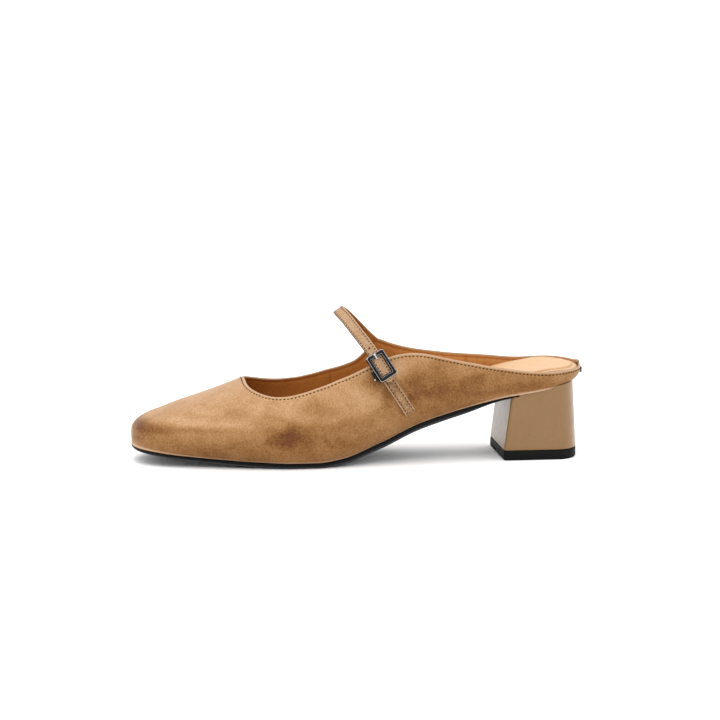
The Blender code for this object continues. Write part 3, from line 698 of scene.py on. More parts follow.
def cloud(tree, scale, detail=4.0, rough=0.55, warp=0.0):
    settings = dict(Scale=scale, Detail=detail, Roughness=rough, Distortion=warp)
    return add(tree, "TexNoise", Vector=place(tree), **settings).outputs["Fac"]


def add_bump(tree, shader, heights):
    """Bumps from (height, strength, distance) rows, one over the other."""
    normal = None
    for height, strength, distance in heights:
        node = add(tree, "Bump", Height=height, Strength=strength, Distance=distance)
        if normal is not None:
            tree.links.new(normal, node.inputs["Normal"])
        normal = node.outputs["Normal"]
    tree.links.new(normal, shader.inputs["Normal"])


def leather(name, tones, roughness, grain, mottle=1.0, burnished_and_shaded=False, coat=0.03, gloss=0.18):
    """Aniline leather: clouded colour, burnished and pale places with painted shade and painted highlight
    among them, and a fine pebbled grain.
    """
    material, tree, shader = new_material(
        name, tones[1][1], roughness, Coat_Weight=coat, Coat_Roughness=0.32, Specular_IOR_Level=gloss
    )
    tone = calculate(tree, "MULTIPLY_ADD", cloud(tree, 38.0, 3.0), 0.36 * mottle, 0.37)
    tone = calculate(tree, "MULTIPLY_ADD", cloud(tree, 150.0, 4.0, 0.6, 0.5), 0.30 * mottle, tone)
    tone = calculate(tree, "MULTIPLY_ADD", cloud(tree, 1150.0, 3.0, 0.75), 1.05 * mottle, tone)
    tone = calculate(tree, "SUBTRACT", tone, 0.855 * mottle)
    if burnished_and_shaded:
        # The first field darkens: burnish, dark seams and painted shade; the lift field pales: painted
        # highlight and paler places
        dark = calculate(tree, "MULTIPLY", field(tree, "burnish_seams_and_shade"), -0.62)
        patchy = calculate(tree, "MULTIPLY_ADD", cloud(tree, 700.0, 4.0, 0.7), 0.44, 0.78)
        tone = calculate(tree, "MULTIPLY_ADD", dark, patchy, tone)
        tone = calculate(tree, "MULTIPLY_ADD", field(tree, "lift"), 0.34, tone)
    colour = ramp(tree, calculate(tree, "ADD", tone, 0.24), tones)
    if burnished_and_shaded:
        # Pale places: the cut edge's own colour, the sock's ledge, and a painted highlight along the
        # upper's foot
        colour = blend_colours(tree, field(tree, "pale"), colour, srgb(210, 174, 144))
    tree.links.new(colour, shader.inputs["Base Color"])
    rough = calculate(tree, "MULTIPLY_ADD", cloud(tree, 260.0, 4.0), 0.22, roughness - 0.11)
    tree.links.new(rough, shader.inputs["Roughness"])
    cells = add(tree, "TexVoronoi", Vector=place(tree), Scale=grain).outputs["Distance"]
    fine = cloud(tree, grain * 2.2, 3.0, 0.6)
    wide = cloud(tree, 300.0, 4.0, 0.6)
    add_bump(tree, shader, ((wide, 0.30, 0.00035), (cells, 0.24, 0.00012), (fine, 0.30, 0.00007)))
    return material


UPPER_TONES = (
    (0.00, srgb(100, 52, 12)),
    (0.25, srgb(135, 89, 40)),
    (0.50, srgb(161, 117, 71)),
    (0.75, srgb(184, 141, 97)),
    (1.00, srgb(208, 167, 132)),
)
STRAP_TONES = (
    (0.00, srgb(96, 62, 34)),
    (0.30, srgb(138, 102, 68)),
    (0.60, srgb(172, 136, 100)),
    (1.00, srgb(202, 170, 138)),
)
CHAPE_TONES = (
    (0.00, srgb(66, 36, 18)),
    (0.35, srgb(118, 82, 52)),
    (0.65, srgb(150, 112, 76)),
    (1.00, srgb(186, 150, 114)),
)
HEEL_TONES = (
    (0.00, srgb(112, 80, 40)),
    (0.40, srgb(129, 94, 50)),
    (0.70, srgb(140, 104, 58)),
    (1.00, srgb(154, 118, 72)),
)
LINING_TONES = (
    (0.00, srgb(122, 62, 14)),
    (0.40, srgb(158, 92, 34)),
    (0.75, srgb(182, 116, 52)),
    (1.00, srgb(200, 136, 72)),
)
SOCK_TONES = (
    (0.00, srgb(196, 150, 104)),
    (0.50, srgb(212, 168, 122)),
    (1.00, srgb(226, 186, 142)),
)
UNDER_TONES = (
    (0.00, srgb(106, 54, 14)),
    (0.50, srgb(148, 88, 34)),
    (1.00, srgb(178, 118, 60)),
)
# A darker copy of the edge leather for the strap's edge toward the toe: painted shade
SHADED_EDGE_TONES = (
    (0.00, srgb(44, 28, 20)),
    (0.50, srgb(66, 44, 32)),
    (1.00, srgb(96, 66, 46)),
)
RIM_TONES = (
    (0.00, srgb(152, 114, 88)),
    (0.50, srgb(180, 144, 116)),
    (1.00, srgb(202, 170, 142)),
)


def rubber(name, colour, roughness, ribs=0.0):
    """Dense rubber: a dusty, uneven sheen, and fine ribs where it treads."""
    material, tree, shader = new_material(name, colour, roughness, Specular_IOR_Level=0.10)
    dust = cloud(tree, 320.0, 5.0, 0.65)
    pale = tuple(c * 1.7 + 0.004 for c in colour[:3]) + (1.0,)
    shade = calculate(tree, "MULTIPLY_ADD", dust, 0.9, -0.2)
    tree.links.new(blend_colours(tree, shade, colour, pale), shader.inputs["Base Color"])
    rough = calculate(tree, "MULTIPLY_ADD", dust, 0.25, roughness - 0.12)
    tree.links.new(rough, shader.inputs["Roughness"])
    rows = [(cloud(tree, 2600.0, 3.0), 0.35, 0.00006)]
    if ribs:
        settings = {"wave_type": "BANDS", "bands_direction": "X"}
        wave = add(tree, "TexWave", settings, Vector=place(tree), Scale=ribs, Distortion=0.6)
        rows.append((wave.outputs["Fac"], 0.6, 0.0004))
    add_bump(tree, shader, rows)
    return material


def metal(name, colour, roughness):
    """Plated metal with fine, uneven polish."""
    material, tree, shader = new_material(name, colour, roughness, Metallic=1.0)
    rough = calculate(tree, "MULTIPLY_ADD", cloud(tree, 900.0, 4.0), 0.16, roughness - 0.08)
    tree.links.new(rough, shader.inputs["Roughness"])
    dull = tuple(c * 0.8 for c in colour[:3]) + (1.0,)
    worn = ramp(tree, cloud(tree, 500.0, 5.0), ((0.3, colour), (0.8, dull)))
    tree.links.new(worn, shader.inputs["Base Color"])
    add_bump(tree, shader, ((cloud(tree, 1500.0, 5.0), 0.12, 0.00005),))
    return material


def enamel():
    """Black lacquer in the buckle's face."""
    material, tree, shader = new_material(
        "buckle_enamel", srgb(9, 9, 11), 0.34, Specular_IOR_Level=0.16,
    )
    rough = calculate(tree, "MULTIPLY_ADD", cloud(tree, 800.0, 4.0), 0.2, 0.26)
    tree.links.new(rough, shader.inputs["Roughness"])
    add_bump(tree, shader, ((cloud(tree, 1200.0, 3.0), 0.1, 0.00004),))
    return material


def thread():
    """Dark waxed thread, with its twist."""
    material, tree, shader = new_material("thread", srgb(36, 22, 16), 0.7, Specular_IOR_Level=0.1)
    tone = cloud(tree, 1400.0, 3.0)
    colour = ramp(tree, tone, ((0.3, srgb(26, 15, 10)), (0.7, srgb(58, 36, 26))))
    tree.links.new(colour, shader.inputs["Base Color"])
    settings = {"wave_type": "BANDS", "bands_direction": "DIAGONAL"}
    twist = add(tree, "TexWave", settings, Vector=place(tree), Scale=2400.0)
    add_bump(tree, shader, ((twist.outputs["Fac"], 0.5, 0.00008),))
    return material


UPPER = leather("upper_leather", UPPER_TONES, 0.50, 1500.0, burnished_and_shaded=True)
RIM = leather("rim_leather", RIM_TONES, 0.55, 1800.0, 0.7)
LINING = leather("lining_leather", LINING_TONES, 0.56, 1900.0, 0.8, True, 0.02)
STRAP = leather("strap_leather", STRAP_TONES, 0.50, 1700.0, 1.15)
CHAPE = leather("chape_leather", CHAPE_TONES, 0.50, 1700.0, 2.1)
UNDER = leather("strap_lining", UNDER_TONES, 0.62, 1900.0, 0.7, coat=0.0)
SHADED_EDGE = leather("edge_painted_shade", SHADED_EDGE_TONES, 0.45, 1900.0, 0.5)
SOCK = leather("sock_leather", SOCK_TONES, 0.50, 2100.0, 0.6, True, 0.04)
COVER = leather("heel_leather", HEEL_TONES, 0.36, 1900.0, 0.55, coat=0.2, gloss=0.35)
BLACK = rubber("sole_rubber", srgb(8, 8, 9), 0.50)
BEVEL = rubber("sole_bevel", srgb(58, 58, 60), 0.58)
TREAD = rubber("sole_tread", srgb(26, 26, 27), 0.64, ribs=70.0)
LIFT = rubber("lift_rubber", srgb(9, 9, 9), 0.66)
STEEL = metal("buckle_metal", (0.56, 0.56, 0.58, 1.0), 0.22)
DARK_STEEL = metal("plate_metal", (0.025, 0.025, 0.028, 1.0), 0.30)
ENAMEL = enamel()
THREAD = thread()


# Upper
def wall_places(side, along, up):
    """Points on the upper's outer face at shares along and heights in INSTEP shares."""
    x = x_at(along)
    z = sole_line(x) + INSTEP * np.asarray(up, float)
    low = widest_height(x)
    wall = upper_side(x, np.maximum(z, low), side)
    feather = centre(share_at(x)) + side * half_width(share_at(x), side, "sole")
    down = np.clip((low - z) / (low - sole_line(x)), 0, 1)
    return np.stack([x, wall + (feather - wall) * down**2, z], -1)


def burnish_and_painted_light_fields(points):
    """How dark and how pale the upper is at each point, from the table of places and the wall's ridge:
    burnish, painted shade and painted highlight.
    """
    dark = np.zeros(len(points))
    lift = np.zeros(len(points))
    wobble = np.column_stack([clouds(points, 120.0, s) for s in (1, 2)]) * 0.45
    for row in BURNISH_AND_PAINTED_LIGHT:
        at = dict(zip(BURNISH_AND_PAINTED_LIGHT_COLUMNS, row))
        spot = wall_places(at["side"], at["along"], at["up"])
        away = (points[:, 0] - spot[0]) / at["long"] + wobble[:, 0]
        rise = (points[:, 2] - spot[2]) / at["high"] + wobble[:, 1]
        same = smooth(-0.012, 0.004, (points[:, 1] - centre(share_at(spot[0]))) * at["side"])
        shape = np.exp(-(away**2 + rise**2)) * same
        if at["strength"] > 0:
            dark = np.maximum(dark, shape * at["strength"]) + 0.25 * shape * at["strength"]
        else:
            lift += shape * -at["strength"]
    share = share_at(points[:, 0])
    height = points[:, 2] - widest_height(points[:, 0])
    # Painted shade with some burnish below the ridge, painted highlight above it toward the toe
    below = smooth(0.0096, 0.0062, height + 0.0022 * wobble[:, 0])
    dark = dark + LOWER_SHADE_AND_BURNISH * below * (1 - 0.5 * smooth(0.05, 0.0, share)) * (1 - 0.5 * dark)
    lift = lift + UPPER_HIGHLIGHT * smooth(0.006, 0.017, height) * smooth(0.42, 0.62, share)
    return np.clip(dark, 0, 1), np.clip(lift, 0, 1)


def crease_depths(points):
    """How deep the creases cut at each point, with a soft lip on both sides."""
    depth = np.zeros(len(points))
    for row in CREASES:
        at = dict(zip(CREASE_COLUMNS, row))
        t = np.linspace(0, 1, 60)
        along = at["from_along"] + (at["to_along"] - at["from_along"]) * t
        along = along + at["bow"] / SHOE_LENGTH * 4 * t * (1 - t)
        up = at["from_up"] + (at["to_up"] - at["from_up"]) * t
        path = wall_places(at["side"], along, up)
        away, index = distances(points, path)
        away = away / at["half"]
        fade = np.sin(math.pi * np.clip(t[index], 0.02, 0.98))
        depth += at["depth"] * fade * (np.exp(-(away**2)) - 0.45 * np.exp(-((away - 2.1) ** 2)))
    return depth


def make_upper():
    rings = outer_rings()
    rows, count = rings.shape[:2]
    normals = ring_normals(rings)
    flat = rings.reshape(-1, 3)
    top_path = np.concatenate([topline_path(OUT)[::3], topline_path(IN)[::3]])
    edge, _ = distances(flat, top_path)
    foot, _ = distances(flat, np.concatenate([feather_points(OUT), feather_points(IN)]))
    creases = crease_depths(flat)
    relief = -creases
    relief += 0.00012 * clouds(flat, 70.0, 3) + 0.00006 * clouds(flat, 190.0, 4)
    relief *= smooth(0.0015, 0.006, edge) * smooth(0.0002, 0.004, foot)
    relief -= 0.00016 * np.exp(-(((edge - STITCH_INSET) / 0.00042) ** 2))
    relief += 0.00008 * np.exp(-(((edge - 0.0026) / 0.0008) ** 2))
    outer = (flat + normals.reshape(-1, 3) * relief[:, None]).reshape(rows, count, 3)
    full = smooth(0.0, 0.004, edge.reshape(rows, count, 1))
    skived = UPPER_WALL * (RIM_SKIVE + (1 - RIM_SKIVE) * full)
    inner = rings - normals * skived
    inner[0, :, 2] = sole_line(inner[0, :, 0])
    rise = rings[-1] - rings[-3]
    rise /= np.linalg.norm(rise, axis=1, keepdims=True)
    middle = (outer[-1] + inner[-1]) / 2
    half = (outer[-1] - inner[-1]) / 2
    rim = []
    for k in range(1, RIM_STEPS):
        turn = math.pi * k / RIM_STEPS
        rim.append(middle + half * math.cos(turn) + rise * UPPER_WALL * 0.28 * math.sin(turn))
    loops = np.concatenate([outer, np.array(rim), inner[::-1]])
    faces = tube_faces(len(loops), count, True)
    row_zone = np.zeros(len(loops), int)
    row_zone[rows - 1 : rows + RIM_STEPS] = 1
    row_zone[rows + RIM_STEPS :] = 2
    zones = np.repeat(row_zone, count)
    burnish_seams_and_shade, lift = burnish_and_painted_light_fields(flat)
    # Creases darken with painted shade
    burnish_seams_and_shade = np.clip(burnish_seams_and_shade + CREASE_SHADE * np.maximum(creases, 0), 0, 1)
    lined = inner[::-1].reshape(-1, 3)
    from_edge, _ = distances(lined, top_path)
    seam = 0.75 * np.exp(-(((from_edge - 0.0019) / 0.0004) ** 2))
    for side, along in LINING_SEAMS:
        away = (lined[:, 0] - x_at(along)) / 0.0004
        same = (lined[:, 1] - centre(share_at(lined[:, 0]))) * side > 0
        seam = np.maximum(seam, 0.6 * np.exp(-(away**2)) * same)
    # Painted light on the lining, paler near the opening at the back
    lining_painted_light = smooth(0.46, 0.34, share_at(lined[:, 0])) * smooth(0.016, 0.003, from_edge)
    # Pale lines: the cut edge by the opening, which is the leather's own, and a painted highlight along
    # the foot, where the wall turns under to the sole
    pale = 0.80 * np.exp(-((edge / 0.00042) ** 2)) + 0.95 * np.exp(-(((foot - 0.0009) / 0.0006) ** 2))
    rest = (len(loops) - rows) * count
    rim_count = rest - len(lined)
    fields = {
        "burnish_seams_and_shade": np.concatenate([burnish_seams_and_shade, np.zeros(rim_count), np.clip(seam, 0, 1)]),
        "lift": np.concatenate([lift, np.zeros(rim_count), lining_painted_light]),
        "pale": np.concatenate([np.clip(pale, 0, 1), np.zeros(rest)]),
    }
    piece = make_piece(
        "upper_shell", loops.reshape(-1, 3), faces, (UPPER, RIM, LINING), zones, fields, sharp=60
    )
    dress(piece, "upper")
    return outer, normals


# Stitches
def stitches(name, path, normals, pitch, length, radius, lean=0.10):
    """Short threads laid end to end along a path, on a surface with the given normals."""
    run = np.concatenate([[0], np.cumsum(np.linalg.norm(np.diff(path, axis=0), axis=1))])
    number = int(run[-1] / pitch)
    middles = (np.arange(number) + 0.5) * run[-1] / number
    points = []
    faces = []
    sections = ((-0.86, 0.55), (-0.5, 0.95), (0.0, 1.0), (0.5, 0.95), (0.86, 0.55))
    sides = 8
    for middle in middles:
        ends = [middle - length / 2, middle, middle + length / 2]
        at = np.column_stack([np.interp(ends, run, path[:, k]) for k in range(3)])
        normal = np.array([np.interp(middle, run, normals[:, k]) for k in range(3)])
        normal /= np.linalg.norm(normal)
        along = at[2] - at[0]
        along /= np.linalg.norm(along)
        across = np.cross(normal, along)
        along = along + across * lean
        along /= np.linalg.norm(along)
        across = np.cross(normal, along)
        base = len(points)
        for place_along, size in sections:
            dip = -0.55 * radius * place_along**2
            spot = at[1] + along * place_along * length / 2 + normal * (radius * 0.15 + dip)
            for k in range(sides):
                turn = 2 * math.pi * k / sides
                off = across * math.cos(turn) + normal * math.sin(turn) * 0.9
                points.append(spot + off * radius * size)
        for place_along in (-1.0, 1.0):
            points.append(at[1] + along * place_along * length / 2 - normal * radius * 0.3)
        loops = len(sections)
        faces += [tuple(base + f) for f in tube_faces(loops, sides, False)]
        first = base + loops * sides
        for k in range(sides):
            faces.append((base + (k + 1) % sides, base + k, first))
            start = base + (loops - 1) * sides
            faces.append((start + k, start + (k + 1) % sides, first + 1))
    piece = make_piece(name, points, faces, (THREAD,), sharp=80)
    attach(piece, "root")


def topline_stitches(outer, normals):
    """The row of stitches that runs round the opening."""
    count = outer.shape[1]
    path = np.zeros((count, 3))
    facing = np.zeros((count, 3))
    top = outer[-1]
    for j in range(count):
        column = outer[::-1, j]
        near = top[[(j - 2) % count, (j - 1) % count, j, (j + 1) % count, (j + 2) % count]]
        tangent = near[-1] - near[0]
        tangent /= np.linalg.norm(tangent)
        away = column - top[j]
        away -= np.outer(away @ tangent, tangent)
        far = np.maximum.accumulate(np.linalg.norm(away, axis=1))
        for k in range(3):
            path[j, k] = np.interp(STITCH_INSET, far, column[:, k])
            facing[j, k] = np.interp(STITCH_INSET, far, normals[::-1, j, k])
    path = np.vstack([path, path[:1]])
    facing = np.vstack([facing, facing[:1]])
    stitches(
        "topline_stitches", path, facing, STITCH_PITCH, STITCH_LENGTH, STITCH_RADIUS
    )


# Strap and chape
def wall_point(x, z, side, offset):
    """A point off the upper's outer face toward the outer side, with the face's normal there."""
    y = upper_side(x, z, side)
    step = SLOPE_STEP
    slope_x = (upper_side(x + step, z, side) - upper_side(x - step, z, side)) / (2 * step)
    slope_z = (upper_side(x, z + step, side) - upper_side(x, z - step, side)) / (2 * step)
    normal = np.array([-slope_x, 1.0, -slope_z])
    normal /= np.linalg.norm(normal)
    return np.array([x, y, z]) + normal * offset, normal


def outer_wall(row, offset):
    x = x_at(row[0])
    return wall_point(x, sole_line(x) + INSTEP * row[1], OUT, offset)


CHAPE_LIFT = GAP + CHAPE_THICKNESS / 2
BAR_LIFT = GAP + CHAPE_THICKNESS + GAP + CENTRE_BAR / 2
STRAP_LIFT = BAR_LIFT + CENTRE_BAR / 2 + GAP + STRAP_THICKNESS / 2
FRAME_LIFT = STRAP_LIFT + STRAP_THICKNESS / 2 + GAP + BUCKLE_DEPTH / 2


def smooth_route(points, step):
    """Points at equal steps along a Catmull-Rom curve through the given points."""
    points = np.array(points)
    ends = np.vstack([2 * points[0] - points[1], points, 2 * points[-1] - points[-2]])
    fine = []
    for i in range(1, len(ends) - 2):
        p0, p1, p2, p3 = ends[i - 1 : i + 3]
        for t in np.linspace(0, 1, 24, endpoint=False):
            curve = 2 * p1 + (p2 - p0) * t
            curve += (2 * p0 - 5 * p1 + 4 * p2 - p3) * t**2
            curve += (3 * p1 - p0 - 3 * p2 + p3) * t**3
            fine.append(curve / 2)
    fine.append(points[-1])
    fine = np.array(fine)
    length = np.concatenate([[0], np.cumsum(np.linalg.norm(np.diff(fine, axis=0), axis=1))])
    places = np.linspace(0, length[-1], max(2, int(round(length[-1] / step)) + 1))
    return np.column_stack([np.interp(places, length, fine[:, k]) for k in range(3)])


def arch_points():
    rows = []
    for row in ARCH:
        at = dict(zip(ARCH_COLUMNS, row))
        x = x_at(at["along"])
        rows.append(np.array([x, BALL_WIDTH * at["across"], sole_line(x) + INSTEP * at["up"]]))
    return rows


def root_points():
    """The strap's hidden end, inside the wall below the opening's edge."""
    x = float(x_at(ROOT_ALONG))
    z = float(sole_line(x) + INSTEP * ROOT_UP)
    deep = UPPER_WALL / 2
    shallow = UPPER_WALL * RIM_SKIVE - STRAP_THICKNESS / 2 + GAP
    points = []
    for share in (1.0, 0.5, 0.0):
        lift = deep + (shallow - deep) * (1 - share)
        back = ROOT_SEEN * share * math.sin(STRAP_LEAN)
        down = ROOT_SEEN * share * math.cos(STRAP_LEAN)
        points.append(wall_point(x - back, z - down, IN, lift)[0])
    return points


def buckle_axes():
    """Middle of the buckle, and its directions down the strap, across it and outward."""
    middle, normal = outer_wall(WALL_RUN[0], 0.0)
    down = outer_wall(WALL_RUN[1], 0.0)[0] - middle
    down -= normal * down.dot(normal)
    down /= np.linalg.norm(down)
    return middle, down, np.cross(normal, down), normal


def band_section(width, thickness):
    """Points round a strap's section as shares across and heights, with the zone of each side.

    Zones: 0 is the face, 1 the edge toward the heel, 2 the back and 3 the edge toward the toe.
    """
    half = width / 2
    edge = STRAP_EDGE
    points = []
    zones = []
    for share in np.linspace(-1, 1, 29):
        across = share * (half - edge)
        inset = half - abs(across)
        channel = math.exp(-(((inset - STRAP_STITCH_INSET) / 0.0003) ** 2))
        points.append((across, thickness / 2 - 0.00012 * channel - 0.00002 * share**2))
        zones.append(0)
    zones[-1] = 1
    for k in range(1, 7):
        turn = math.pi * k / 7
        points.append((half - edge + edge * math.sin(turn), thickness / 2 * math.cos(turn)))
        zones.append(1)
    for share in np.linspace(1, -1, 7):
        points.append((share * (half - edge), -thickness / 2))
        zones.append(2)
    zones[-1] = 3
    for k in range(1, 7):
        turn = math.pi * k / 7
        points.append((-(half - edge) - edge * math.sin(turn), -thickness / 2 * math.cos(turn)))
        zones.append(3)
    return np.array(points), np.array(zones)


def band_frames(route, across_start, across_end):
    """Directions across and out of a strap at each point of its route."""
    tangents = np.gradient(route, axis=0)
    tangents /= np.linalg.norm(tangents, axis=1, keepdims=True)
    share = np.linspace(0, 1, len(route))[:, None]
    across = across_start + (across_end - across_start) * share
    across -= tangents * np.sum(across * tangents, axis=1, keepdims=True)
    across /= np.linalg.norm(across, axis=1, keepdims=True)
    return across, np.cross(tangents, across)


def make_band(name, route, frames, width, thickness, materials, widths, skive=0.0):
    """A strap along a route, with rounded edges, two stitch channels and shaped ends."""
    across, out = frames
    section, zones = band_section(width, thickness)
    loops = []
    for k in range(len(route)):
        scaled = section[:, :1] * widths[k]
        thin = 1 - 0.5 * float(smooth(skive, 0.0, k * BAND_STEP)) if skive else 1.0
        loops.append(route[k] + across[k] * scaled + out[k] * section[:, 1:] * thin)
    count = len(section)
    loops = np.array(loops)
    faces = [tuple(f) for f in tube_faces(len(loops), count, False)]
    zone = list(np.tile(zones, len(loops) - 1))
    last = (len(loops) - 1) * count
    faces.append(tuple(range(count))[::-1])
    faces.append(tuple(range(last, last + count)))
    return make_piece(name, loops.reshape(-1, 3), faces, materials, zone + [1, 1], sharp=50)


def tip_widths(count):
    """Shares of full width along a strap with a rounded tip."""
    from_end = (np.arange(count) * BAND_STEP)[::-1]
    return np.maximum(falloff(1 - from_end / TIP_ROUND, TIP_SQUARENESS), TIP_NARROWEST)


def band_stitches(name, route, frames, width, thickness, begin, finish, closed_end=False):
    """Two rows of stitches along a strap's face, joined across its end where closed."""
    across, out = frames
    keep = slice(begin, finish)
    rows = []
    for side in (-1, 1):
        inset = width / 2 - STRAP_STITCH_INSET
        rows.append((route + across * side * inset + out * (thickness / 2 - 0.00010))[keep])
    if closed_end:
        path = np.vstack([rows[0], rows[1][::-1]])
        facing = np.vstack([out[keep], out[keep][::-1]])
        paths = [(path, facing)]
    else:
        paths = [(row, out[keep]) for row in rows]
    for i, (path, facing) in enumerate(paths):
        stitches(
            f"{name}_{i + 1}", path, facing,
            STRAP_STITCH_PITCH, STRAP_STITCH_LENGTH, STRAP_STITCH_RADIUS, 0.06,
        )


def strap_route():
    middle, down, across, normal = buckle_axes()
    buckle = middle + normal * STRAP_LIFT
    entry = buckle - down * (BUCKLE_LENGTH / 2 + GAP) - normal * STRAP_DIP
    tip = buckle + down * STRAP_TIP
    half_in = buckle - down * BUCKLE_LENGTH / 4
    route = smooth_route(root_points() + arch_points() + [entry, half_in, buckle, tip], BAND_STEP)
    x = float(x_at(ROOT_ALONG))
    facing = wall_point(x, float(sole_line(x) + INSTEP * ROOT_UP), IN, 0.0)[1]
    root = np.array([-math.cos(STRAP_LEAN), 0.0, math.sin(STRAP_LEAN)])
    root -= facing * (root @ facing)
    return route, band_frames(route, root / np.linalg.norm(root), across)


def make_strap():
    route, frames = strap_route()
    widths = tip_widths(len(route))
    # The strap's edge toward the heel takes the pale edge leather, the edge toward the toe its darker copy
    # of painted shade
    piece = make_band(
        "strap_band", route, frames, STRAP_WIDTH, STRAP_THICKNESS, (STRAP, RIM, UNDER, SHADED_EDGE), widths,
        ROOT_SKIVE,
    )
    middle, down, across, normal = buckle_axes()
    for i, far in enumerate(HOLES):
        index = int(np.argmin(np.linalg.norm(route - (middle + normal * STRAP_LIFT + down * far), axis=1)))
        axis = frames[1][index]
        punch(piece, f"hole_cutter_{i + 1}", route[index], axis, HOLE_RADIUS, STRAP_THICKNESS * 4)
    settle(piece)
    dress(piece, "strap")
    begin = int((ROOT_SEEN + 0.0012) / BAND_STEP)
    finish = len(route) - int(0.0030 / BAND_STEP)
    band_stitches(
        "strap_stitches", route, frames, STRAP_WIDTH, STRAP_THICKNESS, begin, finish
    )


def make_chape():
    across = buckle_axes()[2]
    route = smooth_route([outer_wall(row, CHAPE_LIFT)[0] for row in WALL_RUN], BAND_STEP)
    frames = band_frames(route, across, across)
    widths = np.ones(len(route))
    piece = make_band(
        "chape_band", route, frames, CHAPE_WIDTH, CHAPE_THICKNESS, (CHAPE, RIM, UNDER, RIM), widths
    )
    dress(piece, "chape")
    begin = int(0.0015 / BAND_STEP)
    finish = len(route) - int(0.0011 / BAND_STEP)
    band_stitches(
        "chape_stitches", route, frames, CHAPE_WIDTH, CHAPE_THICKNESS, begin, finish,
        closed_end=True,
    )


# Cutting
def punch(piece, name, middle, axis, radius, depth):
    """Cuts a round hole through a piece."""
    axis = np.array(axis) / np.linalg.norm(axis)
    side = np.cross(axis, (1.0, 0.0, 0.0))
    side /= np.linalg.norm(side)
    other = np.cross(axis, side)
    sides = 20
    loops = []
    for end in (-1, 1):
        for k in range(sides):
            turn = 2 * math.pi * k / sides
            ring = side * math.cos(turn) + other * math.sin(turn)
            loops.append(middle + ring * radius + axis * end * depth / 2)
    faces = [tuple(f) for f in tube_faces(2, sides, False)]
    faces += [tuple(range(sides))[::-1], tuple(range(sides, 2 * sides))]
    cut(piece, name, loops, faces, UNDER)


def cut(piece, name, points, faces, material):
    """Cuts a closed shape out of a piece. The cut's faces take the material."""
    cutter = make_piece(name, points, faces, (material,))
    cutter.hide_render = True
    cutter.hide_viewport = True
    modifier = piece.modifiers.new(name, "BOOLEAN")
    modifier.operation = "DIFFERENCE"
    modifier.solver = "EXACT"
    modifier.material_mode = "TRANSFER"
    modifier.object = cutter


def settle(piece):
    """Applies a piece's modifiers and takes their cutters away."""
    cutters = [m.object for m in piece.modifiers]
    graph = bpy.context.evaluated_depsgraph_get()
    mesh = bpy.data.meshes.new_from_object(piece.evaluated_get(graph))
    piece.modifiers.clear()
    piece.data = mesh
    for cutter in cutters:
        bpy.data.objects.remove(cutter, do_unlink=True)


# Buckle
def buckle_place(points):
    """Points given down the strap, across it and outward, in the shoe's frame."""
    middle, down, across, normal = buckle_axes()
    return middle + np.asarray(points, float) @ np.array([down, across, normal])


def rounded_rectangle(length, width, radius, steps=6):
    points = []
    for a, b, start in ((1, 1, 0.0), (-1, 1, 0.5), (-1, -1, 1.0), (1, -1, 1.5)):
        for k in range(steps + 1):
            turn = math.pi * (start + 0.5 * k / steps)
            x = a * (length / 2 - radius) + radius * math.cos(turn)
            y = b * (width / 2 - radius) + radius * math.sin(turn)
            points.append((x, y))
    return np.array(points)


